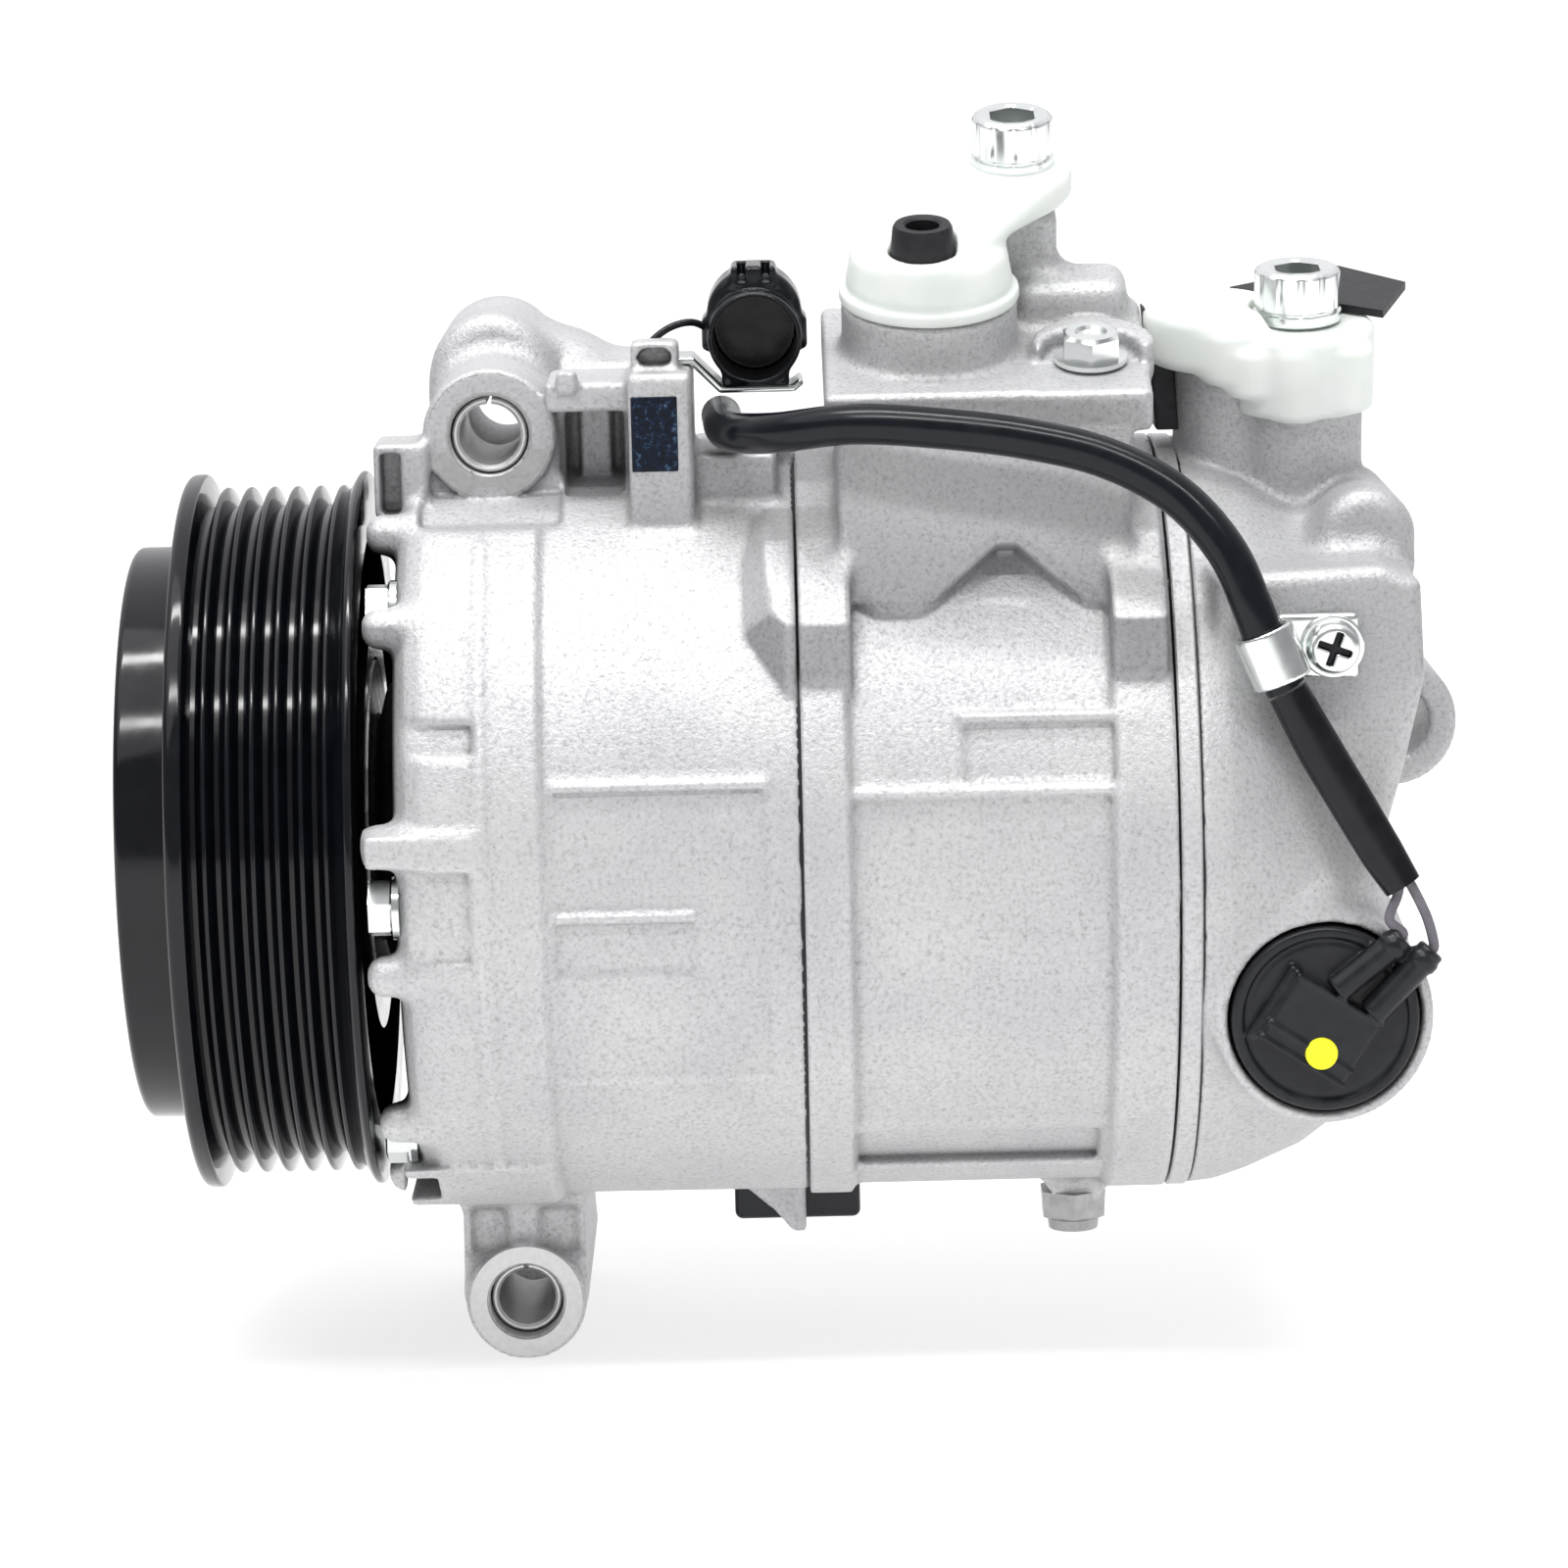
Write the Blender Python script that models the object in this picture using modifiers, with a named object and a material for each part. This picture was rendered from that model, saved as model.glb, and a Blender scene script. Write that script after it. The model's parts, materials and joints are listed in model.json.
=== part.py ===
"""Car air-conditioning compressor: variable-displacement swash-plate type with seven pistons and a
clutchless poly-V pulley. Metres, +Z up. The shaft lies along +X, from the pulley's nose to the rear,
and the origin is the centre of the hub's nose face. -Y is the side of the ears' bolt heads, +Y the engine."""

import math

import bmesh
import bpy
from mathutils import Matrix, Vector

# ---- Driving dimensions -------------------------------------------------------------------------

GAP = 0.0003  # between pieces that touch

# Stations along the shaft.
PULLEY_FRONT_X = 0.0085
PULLEY_REAR_X = 0.0360
NOSE_X = 0.0130
FRONT_FACE_X = 0.0427
WALL_X = 0.0520  # inner face of the front wall
FRONT_JOINT_X = 0.1010
BLOCK_FACE_X = 0.1060  # the cylinder block's inner face
BLOCK_REAR_X = 0.1554
VALVE_PLATE_X = (0.1563, 0.1583)
REAR_FACE_X = 0.1595
REAR_END_X = 0.1860

BODY_R = 0.0580
BARREL_R = 0.0570
CHAMBER_R = 0.0544

# Belt wheel of the PK section: six ridges between two flanges.
PULLEY_R = 0.0550
RIDGE_COUNT = 6
RIDGE_PITCH = 0.00356
FIRST_RIDGE_X = 0.0142
RIDGE_R = 0.0528
GROOVE_R = 0.0500
HUB_R = 0.0440
BEARING_SEAT_R = 0.0175
BEARING_OUTER_R = 0.0260

# Pumping mechanism.
CYLINDERS = 7
PISTON_PITCH_R = 0.0385
BORE_R = 0.0155
PISTON_R = 0.0153
SWASH_X = 0.0840
SWASH_R = 0.0465
SWASH_T = 0.0080
SHAFT_R = 0.0080

# Long bolts through all the castings, half-way between the cylinders.
BOLT_PITCH_R = 0.0512
BOLT_HOLE_R = 0.0031
BOLT_R = 0.0028
FIRST_BOLT_DEG = 48.4  # from -Y towards +Z
STEP_DEG = 360.0 / CYLINDERS

# Mounting ears, bored along Y: (x, z), outer radius, hole radius, first and last y.
EAR_SEAT_Y = 0.0440
TOP_EAR = ((0.0558, 0.0622), 0.0099, 0.0059, -0.0180)
LOW_EAR = ((0.0569, -0.0730), 0.0093, 0.0057, -0.0120)
REAR_EAR = ((0.1949, 0.0091), 0.0103, 0.0060, 0.0220)
EAR_BOLT_R = 0.0050

# Ports: each stands in a plane through the shaft, leaning towards -Y.
SUCTION_X = 0.1217
SUCTION_LEAN = math.radians(16)
SUCTION_SEAT_H = 0.0849
DISCHARGE_X = 0.1770
DISCHARGE_LEAN = math.radians(10)
DISCHARGE_SEAT_H = 0.0705

SHOULDER_DEPTH = 0.0480  # the rear housing's flat near face lies this far towards -Y

# Control valve, in a bore along Y in the rear housing.
VALVE_X = 0.1765
VALVE_Z = -0.0215
VALVE_FACE_Y = -0.0550
SCREW_XZ = (0.1783, 0.0325)  # the cable clamp's screw

# The loom from the control valve to the connector.
CABLE_R = 0.0030
CABLE_ROUTE = [
    (0.0905, -0.0150, 0.0642),
    (0.0918, -0.0280, 0.0632),
    (0.0985, -0.0390, 0.0640),
    (0.1097, -0.0445, 0.0656),
    (0.1224, -0.0465, 0.0649),
    (0.1350, -0.0470, 0.0631),
    (0.1463, -0.0475, 0.0601),
    (0.1560, -0.0492, 0.0548),
    (0.1628, -0.0520, 0.0472),
    (0.1665, -0.0540, 0.0389),
    (0.1690, -0.0543, 0.0314),
    (0.1712, -0.0543, 0.0271),
]
SLEEVE_R = 0.0028
SLEEVE_ROUTE = [
    (0.1715, -0.0543, 0.0265),
    (0.1757, -0.0552, 0.0185),
    (0.1805, -0.0561, 0.0102),
    (0.1846, -0.0567, 0.0031),
    (0.1876, -0.0571, -0.0018),
]
WIRE_R = 0.0009
WIRE_A_ROUTE = [(0.1868, -0.0571, -0.0032), (0.1856, -0.0574, -0.0066), (0.1875, -0.0576, -0.0086)]
WIRE_B_ROUTE = [(0.1890, -0.0571, -0.0021), (0.1910, -0.0575, -0.0064), (0.1920, -0.0576, -0.0104)]

SIDES = 32  # of a large turned casting

# ---- Scene and collections ----------------------------------------------------------------------

for old in list(bpy.data.objects):
    bpy.data.objects.remove(old, do_unlink=True)

parts = bpy.data.collections.new("ac_compressor")
tools = bpy.data.collections.new("cutters")
for group in (parts, tools):
    bpy.context.scene.collection.children.link(group)

# ---- Materials ----------------------------------------------------------------------------------


def material(name, colour, roughness, metallic):
    made = bpy.data.materials.new(name)
    made.use_nodes = True
    shader = made.node_tree.nodes["Principled BSDF"]
    shader.inputs["Base Color"].default_value = (*colour, 1.0)
    shader.inputs["Roughness"].default_value = roughness
    shader.inputs["Metallic"].default_value = metallic
    return made


CAST = material("cast_aluminium", (0.78, 0.78, 0.79), 0.55, 0.6)
STEEL = material("bright_steel", (0.70, 0.71, 0.72), 0.25, 1.0)
GROUND = material("ground_steel", (0.45, 0.45, 0.47), 0.30, 1.0)
PISTON_METAL = material("piston_alloy", (0.66, 0.66, 0.68), 0.35, 0.9)
BLACK_GLOSS = material("black_gloss", (0.012, 0.012, 0.014), 0.15, 0.0)
RUBBER = material("rubber", (0.015, 0.015, 0.017), 0.55, 0.0)
BLACK_PLASTIC = material("black_plastic", (0.02, 0.02, 0.022), 0.40, 0.0)
CAP_PLASTIC = material("cap_plastic", (0.88, 0.90, 0.88), 0.35, 0.0)
GREY_WIRE = material("grey_wire", (0.20, 0.20, 0.21), 0.45, 0.0)

# ---- Helpers ------------------------------------------------------------------------------------


def add_object(name, data, stuff, tool=False):
    made = bpy.data.objects.new(name, data)
    (tools if tool else parts).objects.link(made)
    if tool:
        made.hide_render = True
        made.display_type = "WIRE"
    else:
        data.materials.append(stuff)
    return made


def from_bmesh(name, shape, stuff, tool):
    mesh = bpy.data.meshes.new(name)
    bmesh.ops.recalc_face_normals(shape, faces=shape.faces)
    shape.to_mesh(mesh)
    shape.free()
    return add_object(name, mesh, stuff, tool)


def smooth(piece, degrees=35):
    piece.data.shade_smooth()
    piece.data.set_sharp_from_angle(angle=math.radians(degrees))


def box(name, low, high, stuff=None, frame=None):
    """A block between two corners, in the frame given; without a material it is a tool."""
    shape = bmesh.new()
    middle = (Vector(low) + Vector(high)) / 2
    size = Vector(high) - Vector(low)
    place = (frame or Matrix()) @ Matrix.Translation(middle) @ Matrix.Diagonal((*size, 1))
    bmesh.ops.create_cube(shape, size=1.0, matrix=place)
    return from_bmesh(name, shape, stuff, stuff is None)


def rod(name, start, end, radius, sides=16, stuff=None, end_radius=None, frame=None):
    """A cylinder or cone between two points; without a material it is a tool."""
    start = Vector(start)
    along = Vector(end) - start
    turn = along.to_track_quat("Z", "Y").to_matrix().to_4x4()
    place = (frame or Matrix()) @ Matrix.Translation(start + along / 2) @ turn
    shape = bmesh.new()
    bmesh.ops.create_cone(
        shape,
        cap_ends=True,
        segments=sides,
        radius1=radius,
        radius2=radius if end_radius is None else end_radius,
        depth=along.length,
        matrix=place,
    )
    return from_bmesh(name, shape, stuff, stuff is None)


def turned(name, profile, stuff=None, sides=SIDES, frame=None):
    """A solid of revolution about its frame's X axis, from (x, radius) points in either order of turn."""
    points = list(profile)
    solid = points[0][1] == 0 and points[-1][1] == 0
    area = sum(a[0] * b[1] - b[0] * a[1] for a, b in zip(points, points[1:] + points[:1]))
    if area < 0:
        points.reverse()
    mesh = bpy.data.meshes.new(name)
    edges = [(i, i + 1) for i in range(len(points) - 1)]
    if not solid:
        edges.append((len(points) - 1, 0))
    mesh.from_pydata([(x, r, 0) for x, r in points], edges, [])
    made = add_object(name, mesh, stuff, stuff is None)
    screw = made.modifiers.new("turn", "SCREW")
    screw.axis = "X"
    screw.steps = sides
    screw.render_steps = sides
    screw.use_merge_vertices = True
    screw.merge_threshold = 0.00001
    if frame:
        made.matrix_world = frame
    return made


def as_mesh(curve_object, tool):
    """Swaps a curve object for its welded mesh."""
    bpy.context.view_layer.update()
    graph = bpy.context.evaluated_depsgraph_get()
    mesh = bpy.data.meshes.new_from_object(curve_object.evaluated_get(graph))
    shape = bmesh.new()
    shape.from_mesh(mesh)
    bmesh.ops.remove_doubles(shape, verts=shape.verts, dist=0.00001)
    bmesh.ops.recalc_face_normals(shape, faces=shape.faces)
    shape.to_mesh(mesh)
    shape.free()
    name = curve_object.name
    place = curve_object.matrix_world.copy()
    stuff = None if tool else curve_object.data.materials[0]
    bpy.data.objects.remove(curve_object, do_unlink=True)
    if not tool:
        mesh.materials.clear()
    made = add_object(name, mesh, stuff, tool)
    made.matrix_world = place
    return made


def slab(name, outline, low, high, stuff=None, frame=None):
    """A flat outline in its frame's XY plane, extruded from low to high along the frame's Z."""
    curve = bpy.data.curves.new(name, "CURVE")
    curve.dimensions = "2D"
    curve.fill_mode = "BOTH"
    curve.extrude = (high - low) / 2
    line = curve.splines.new("POLY")
    line.points.add(len(outline) - 1)
    for point, (x, y) in zip(line.points, outline):
        point.co = (x, y, 0, 1)
    line.use_cyclic_u = True
    tool = stuff is None
    made = add_object(name, curve, stuff or CAST, False)
    made.matrix_world = (frame or Matrix()) @ Matrix.Translation((0, 0, (low + high) / 2))
    made = as_mesh(made, tool)
    return made


def wire(name, route, radius, stuff, per_gap=3, resolution=2):
    """A round tube along a smooth curve through the route's points."""
    knots = [Vector(p) for p in route]
    line = smooth_line(knots, per_gap)
    curve = bpy.data.curves.new(name, "CURVE")
    curve.dimensions = "3D"
    curve.bevel_depth = radius
    curve.bevel_resolution = resolution
    curve.use_fill_caps = True
    spline = curve.splines.new("POLY")
    spline.points.add(len(line) - 1)
    for point, place in zip(spline.points, line):
        point.co = (*place, 1)
    return as_mesh(add_object(name, curve, stuff, False), False)


def smooth_line(knots, per_gap):
    """Points of a Catmull-Rom curve through the knots."""
    padded = [2 * knots[0] - knots[1], *knots, 2 * knots[-1] - knots[-2]]
    line = []
    for a, b, c, d in zip(padded, padded[1:], padded[2:], padded[3:]):
        for step in range(per_gap):
            t = step / per_gap
            square = 2 * a - 5 * b + 4 * c - d
            cube = 3 * b - a - 3 * c + d
            line.append(b + 0.5 * ((c - a) * t + square * t**2 + cube * t**3))
    return [*line, knots[-1]]


def combine(target, operation, pieces):
    for piece in pieces:
        step = target.modifiers.new(piece.name, "BOOLEAN")
        step.operation = operation
        step.solver = "EXACT"
        step.object = piece


def add(target, *pieces):
    combine(target, "UNION", pieces)


def cut(target, *pieces):
    combine(target, "DIFFERENCE", pieces)


def around(radius, degrees):
    """(y, z) at this radius, the angle measured from -Y towards +Z."""
    angle = math.radians(degrees)
    return -radius * math.cos(angle), radius * math.sin(angle)


def bolt_angle(index):
    return FIRST_BOLT_DEG + index * STEP_DEG


def piston_angle(index):
    return FIRST_BOLT_DEG + (index + 0.5) * STEP_DEG


def ring(name, x_span, r_span, stuff, sides):
    (x0, x1), (r0, r1) = x_span, r_span
    return turned(name, [(x0, r0), (x1, r0), (x1, r1), (x0, r1)], stuff, sides)


def arc(centre, radius, first, last, count):
    """Points on a circle in a slab's plane, angles in degrees."""
    steps = [math.radians(first + (last - first) * i / count) for i in range(count + 1)]
    return [(centre[0] + radius * math.cos(a), centre[1] + radius * math.sin(a)) for a in steps]


def port_frame(x, lean):
    """Origin on the shaft's axis, Z up the leaning port, Y across it towards the engine."""
    return Matrix.Translation((x, 0, 0)) @ Matrix.Rotation(lean, 4, "X")


SUCTION = port_frame(SUCTION_X, SUCTION_LEAN)
DISCHARGE = port_frame(DISCHARGE_X, DISCHARGE_LEAN)
ON_EDGE = Matrix.Rotation(math.radians(90), 4, "X")  # a slab's outline in XZ, its depth towards -Y


def along_y(name, centre, radius, low, high, sides=16, stuff=None):
    x, z = centre
    return rod(name, (x, low, z), (x, high, z), radius, sides, stuff)


def bolt_holes(target, start, end):
    for index in range(CYLINDERS):
        y, z = around(BOLT_PITCH_R, bolt_angle(index))
        cut(target, rod(f"{target.name}_bolt_hole_{index + 1}", (start, y, z), (end, y, z), BOLT_HOLE_R, 8))


def joint_boss(name, start, end):
    """A square-edged boss on the castings' near shoulder, its ridge pointing outwards."""
    half, reach = 0.0062, 0.0535
    lean = Matrix.Rotation(math.radians(90 - 37), 4, "X") @ Matrix.Translation((0, 0, reach))
    on_edge = lean @ Matrix.Rotation(math.pi / 4, 4, "X")
    return box(name, (start, -half, -half), (end, half, half), frame=on_edge)


# ---- Front housing ------------------------------------------------------------------------------

front = turned(
    "front_housing",
    [
        (NOSE_X, 0.0140),
        (NOSE_X, BEARING_SEAT_R),
        (0.0142, BEARING_SEAT_R),
        (0.0142, 0.0162),
        (0.0158, 0.0162),
        (0.0158, BEARING_SEAT_R),
        (0.0368, BEARING_SEAT_R),
        (0.0368, 0.0205),
        (FRONT_FACE_X, 0.0210),
        (FRONT_FACE_X, 0.0550),
        (0.0465, BODY_R),
        (0.0628, BODY_R),
        (0.0636, BARREL_R),
        (FRONT_JOINT_X - 0.0004, BARREL_R + 0.0005),
        (FRONT_JOINT_X - 0.0004, CHAMBER_R),
        (0.0550, CHAMBER_R),
        (WALL_X, 0.0510),
        (WALL_X, 0.0140),
    ],
    CAST,
)


def ear(target, name, spec, arm_low, arm_high):
    """A bored lug on a block that joins it to its casting."""
    centre, radius, hole, first_y = spec
    add(
        target,
        box(f"{name}_arm", arm_low, arm_high),
        along_y(f"{name}_boss", centre, radius, first_y, EAR_SEAT_Y, 24),
    )
    counterbore_end = first_y + 0.0300 if first_y < 0 else EAR_SEAT_Y + 0.001
    cut(
        target,
        along_y(f"{name}_hole", centre, hole, first_y - 0.001, counterbore_end, 16),
        along_y(f"{name}_bolt_way", centre, EAR_BOLT_R, first_y, EAR_SEAT_Y + 0.001, 16),
    )


FINGER_OFFSET_DEG = 10.4
for index in range(CYLINDERS):
    for side, offset in (("a", -FINGER_OFFSET_DEG), ("b", FINGER_OFFSET_DEG)):
        y, z = around(0.0550, bolt_angle(index) + offset)
        add(front, rod(f"finger_{index + 1}{side}", (0.0380, y, z), (0.0480, y, z), 0.0031, 4))

add(
    front,
    rod("top_lobe", (0.0552, 0.0060, 0.0690), (0.0552, 0.0405, 0.0690), 0.0093, 16),
    box("top_lobe_web", (0.0462, 0.0062, 0.0450), (0.0642, 0.0402, 0.0690)),
    box("slot_back", (0.0600, -0.0140, 0.0400), (0.0780, 0.0100, 0.0662)),
    box("slot_bar", (0.0600, -0.0240, 0.0660), (0.0780, -0.0020, 0.0702)),
    box("shoulder_block", (0.0768, -0.0300, 0.0400), (0.0862, -0.0040, 0.0720)),
    box("shoulder_step", (0.0770, -0.0262, 0.0700), (0.0845, -0.0185, 0.0765)),
    box("loom_shelf", (0.0860, -0.0240, 0.0400), (0.0980, 0.0060, 0.0592)),
    box("front_tab", (0.0385, -0.0190, 0.0500), (0.0480, -0.0080, 0.0614)),
    joint_boss("front_joint_boss", 0.0925, FRONT_JOINT_X - 0.0004),
    box("bottom_fin", (0.0942, -0.0080, -0.0650), (0.0987, 0.0020, -0.0540)),
)
ear(front, "top_ear", TOP_EAR, (0.0460, -0.0172, 0.0400), (0.0647, 0.0400, 0.0620))
ear(front, "low_ear", LOW_EAR, (0.0475, -0.0100, -0.0730), (0.0663, 0.0400, -0.0450))
cut(
    front,
    rod("chamber_clear", (0.0550, 0, 0), (FRONT_JOINT_X, 0, 0), CHAMBER_R - 0.0001, SIDES),
    rod("wall_clear", (WALL_X + 0.0001, 0, 0), (0.0560, 0, 0), 0.0500, SIDES),
)
bolt_holes(front, 0.0360, 0.0560)

# ---- Cylinder block -----------------------------------------------------------------------------

block = rod("cylinder_block", (FRONT_JOINT_X + 0.0004, 0, 0), (0.1080, 0, 0), BODY_R, SIDES, CAST)
add(
    block,
    rod("block_barrel", (0.1050, 0, 0), (0.1500, 0, 0), 0.0564, SIDES),
    rod("block_rear_flange", (0.1462, 0, 0), (BLOCK_REAR_X, 0, 0), BODY_R, SIDES),
    joint_boss("block_front_boss", FRONT_JOINT_X + 0.0006, 0.1085),
    joint_boss("block_rear_boss", 0.1460, 0.1530),
    box("suction_neck", (-0.0125, -0.0195, 0.0400), (0.0270, 0.0180, 0.0740), frame=SUCTION),
    box("suction_plate", (-0.0160, -0.0185, 0.0708), (0.0320, 0.0180, 0.0772), frame=SUCTION),
    rod("suction_column", (0, 0, 0.0600), (0, 0, SUCTION_SEAT_H), 0.0130, 24, frame=SUCTION),
    box("suction_bolt_boss", (0.0085, 0.0115, 0.0600), (0.0194, 0.0242, 0.0937), frame=SUCTION),
    rod("relief_boss", (0.1420, -0.0050, -0.0500), (0.1420, -0.0050, -0.0583), 0.0060, 12),
)
cut(
    block,
    rod("block_recess", (0.1000, 0, 0), (BLOCK_FACE_X, 0, 0), CHAMBER_R, SIDES),
    rod("rear_bearing_seat", (0.1000, 0, 0), (0.1245, 0, 0), 0.0118, 20),
)
for index in range(CYLINDERS):
    y, z = around(PISTON_PITCH_R, piston_angle(index))
    cut(block, rod(f"bore_{index + 1}", (0.1000, y, z), (0.1600, y, z), BORE_R, 20))
bolt_holes(block, 0.1000, 0.1600)
cut(
    block,
    rod("suction_port", (0, 0, 0.0660), (0, 0, 0.0860), 0.0086, 16, frame=SUCTION),
    rod("suction_bolt_hole", (0.0132, 0.0180, 0.0740), (0.0132, 0.0180, 0.0950), 0.0042, 10, frame=SUCTION),
    rod("port_bolt_hole", (0.0235, -0.0070, 0.0640), (0.0235, -0.0070, 0.0780), 0.0028, 8, frame=SUCTION),
)

# ---- Rear housing -------------------------------------------------------------------------------

rear = turned(
    "rear_housing",
    [
        (REAR_END_X, 0),
        (REAR_END_X, 0.0410),
        (0.1835, 0.0470),
        (0.1765, 0.0520),
        (0.1680, 0.0556),
        (0.1630, 0.0572),
        (REAR_FACE_X, 0.0578),
        (REAR_FACE_X, 0.0476),
        (0.1645, 0.0476),
        (0.1645, 0.0330),
        (REAR_FACE_X, 0.0330),
        (REAR_FACE_X, 0.0290),
        (0.1645, 0.0290),
        (0.1645, 0),
    ],
    CAST,
)
SHOULDER = [
    (0.1652, 0.0020),
    (0.1850, 0.0010),
    (0.1888, 0.0135),
    (0.1920, 0.0270),
    (0.1912, 0.0400),
    (0.1652, 0.0420),
]
CROWN = [
    (0.1652, 0.0200),
    (0.1915, 0.0300),
    (0.1910, 0.0440),
    (0.1896, 0.0492),
    (0.1870, 0.0528),
    (0.1652, 0.0500),
]
SIDE_PORT = (-0.0095, 0.0020)  # the discharge passage's centre, beside the cap's bolt
add(
    rear,
    slab("shoulder", SHOULDER, -0.0200, SHOULDER_DEPTH, frame=ON_EDGE),
    slab("crown", CROWN, -0.0150, 0.0340, frame=ON_EDGE),
    rod("valve_boss", (VALVE_X, 0.0000, VALVE_Z), (VALVE_X, VALVE_FACE_Y, VALVE_Z), 0.0158, 24),
    rod("discharge_column", (0, 0, 0.0490), (0, 0, DISCHARGE_SEAT_H), 0.0100, 20, frame=DISCHARGE),
    rod("port_column", (*SIDE_PORT, 0.0490), (*SIDE_PORT, DISCHARGE_SEAT_H), 0.0078, 16, frame=DISCHARGE),
)
ear(rear, "rear_ear", REAR_EAR, (0.1700, 0.0250, 0.0010), (0.1940, 0.0420, 0.0172))
cut(
    rear,
    rod("valve_seat", (VALVE_X, -0.0470, VALVE_Z), (VALVE_X, -0.0560, VALVE_Z), 0.0140, 24),
    rod("valve_bore", (VALVE_X, 0.0100, VALVE_Z), (VALVE_X, -0.0480, VALVE_Z), 0.0110, 20),
    rod("discharge_port", (*SIDE_PORT, 0.0500), (*SIDE_PORT, 0.0720), 0.0052, 12, frame=DISCHARGE),
    rod("discharge_bolt_hole", (0, 0, 0.0500), (0, 0, 0.0720), 0.0042, 10, frame=DISCHARGE),
    along_y("clamp_screw_hole", SCREW_XZ, 0.0023, -0.0490, -0.0350, 8),
)
bolt_holes(rear, 0.1580, 0.1680)

# ---- Gaskets, valve plate and reeds -------------------------------------------------------------

ring("front_gasket", (FRONT_JOINT_X - 0.0001, FRONT_JOINT_X + 0.0001), (0.0548, 0.0572), RUBBER, 24)
ring("rear_gasket", (0.1586, 0.1592), (0.0548, 0.0574), RUBBER, 24)

valve_plate = rod("valve_plate", (VALVE_PLATE_X[0], 0, 0), (VALVE_PLATE_X[1], 0, 0), 0.0572, SIDES, GROUND)
bolt_holes(valve_plate, 0.1550, 0.1600)
for index in range(CYLINDERS):
    for port, radius in (("suction", 0.0310), ("discharge", 0.0440)):
        y, z = around(radius, piston_angle(index))
        cut(valve_plate, rod(f"{port}_way_{index + 1}", (0.155, y, z), (0.160, y, z), 0.0025, 6))


def reed_star(name, x_span, inner, outer, stuff):
    """A thin sheet with one finger over each cylinder."""
    tip = outer + 0.001
    finger = [(-0.5, inner), (-0.22, inner), (-0.16, outer), (0.0, tip), (0.16, outer), (0.22, inner)]
    outline = []
    for index in range(CYLINDERS):
        for offset, radius in finger:
            outline.append(around(radius, piston_angle(index) + offset * STEP_DEG))
    stand = Matrix(((0, 0, 1, 0), (1, 0, 0, 0), (0, 1, 0, 0), (0, 0, 0, 1)))
    return slab(name, outline, *x_span, stuff, stand)


reed_star("suction_reed", (0.1557, 0.1560), 0.0250, 0.0465, STEEL)
reed_star("discharge_reed", (0.1586, 0.1589), 0.0300, 0.0465, STEEL)

# ---- Through bolts ------------------------------------------------------------------------------

BOLT_HEAD_X = 0.0376


def through_bolt(index):
    y, z = around(BOLT_PITCH_R, bolt_angle(index))
    head_end = FRONT_FACE_X - GAP
    turned(
        f"through_bolt_{index + 1}",
        [
            (0.1672, 0),
            (0.1672, BOLT_R),
            (head_end, BOLT_R),
            (head_end, 0.0047),
            (BOLT_HEAD_X, 0.0047),
            (BOLT_HEAD_X, 0.0025),
            (BOLT_HEAD_X + 0.003, 0.0025),
            (BOLT_HEAD_X + 0.003, 0),
        ],
        STEEL,
        8,
        Matrix.Translation((0, y, z)),
    )


for index in range(CYLINDERS):
    through_bolt(index)

# ---- Bearings and seals on the shaft ------------------------------------------------------------

ring("shaft_seal", (0.0250, 0.0320), (SHAFT_R + GAP, 0.0137), RUBBER, 20)
ring("front_bearing", (0.0360, 0.0500), (SHAFT_R + GAP, 0.0137), GROUND, 20)
ring("thrust_bearing", (WALL_X + GAP, 0.0550), (0.0130, 0.0240), GROUND, 20)
ring("rear_bearing", (0.1080, 0.1220), (SHAFT_R + GAP, 0.0115), GROUND, 20)
ring("pulley_bearing", (0.0161, 0.0362), (BEARING_SEAT_R + GAP, BEARING_OUTER_R), GROUND, 24)
ring("snap_ring", (0.0145, 0.0155), (0.0165, 0.0195), STEEL, 24)

# ---- Rotor: pulley, hub, shaft and lug plate ----------------------------------------------------


def ridge_profile():
    """The V-grooved run of the rim, from front to back."""
    points = []
    for ridge in range(RIDGE_COUNT):
        x = FIRST_RIDGE_X + ridge * RIDGE_PITCH
        points += [(x - RIDGE_PITCH / 2, GROOVE_R), (x - 0.0004, RIDGE_R), (x + 0.0004, RIDGE_R)]
    return [*points, (FIRST_RIDGE_X + (RIDGE_COUNT - 0.5) * RIDGE_PITCH, GROOVE_R)]


turned(
    "pulley",
    [
        (PULLEY_FRONT_X, 0.0450),
        (PULLEY_FRONT_X, 0.0545),
        (0.0090, PULLEY_R),
        (0.0112, PULLEY_R),
        *ridge_profile(),
        (0.0346, PULLEY_R),
        (0.0355, PULLEY_R),
        (PULLEY_REAR_X, 0.0545),
        (PULLEY_REAR_X, 0.0455),
        (0.0170, 0.0455),
        (0.0170, 0.0310),
        (PULLEY_REAR_X, 0.0310),
        (PULLEY_REAR_X, BEARING_OUTER_R + GAP),
        (0.0120, BEARING_OUTER_R + GAP),
        (0.0120, 0.0440),
    ],
    BLACK_GLOSS,
    SIDES,
)
turned(
    "drive_hub",
    [
        (0, 0.0405),
        (0, 0.0430),
        (0.0010, HUB_R),
        (0.0082, HUB_R),
        (0.0082, 0.0320),
        (0.0105, 0.0300),
        (0.0105, 0.0120),
        (0.0200, 0.0120),
        (0.0200, 0.0064),
        (0.0075, 0.0064),
        (0.0075, 0.0280),
        (0.0035, 0.0320),
        (0.0035, 0.0405),
    ],
    BLACK_GLOSS,
    28,
)
ring("hub_damper", (0.0085, 0.0117), (0.0325, 0.0430), RUBBER, 24)
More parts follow.
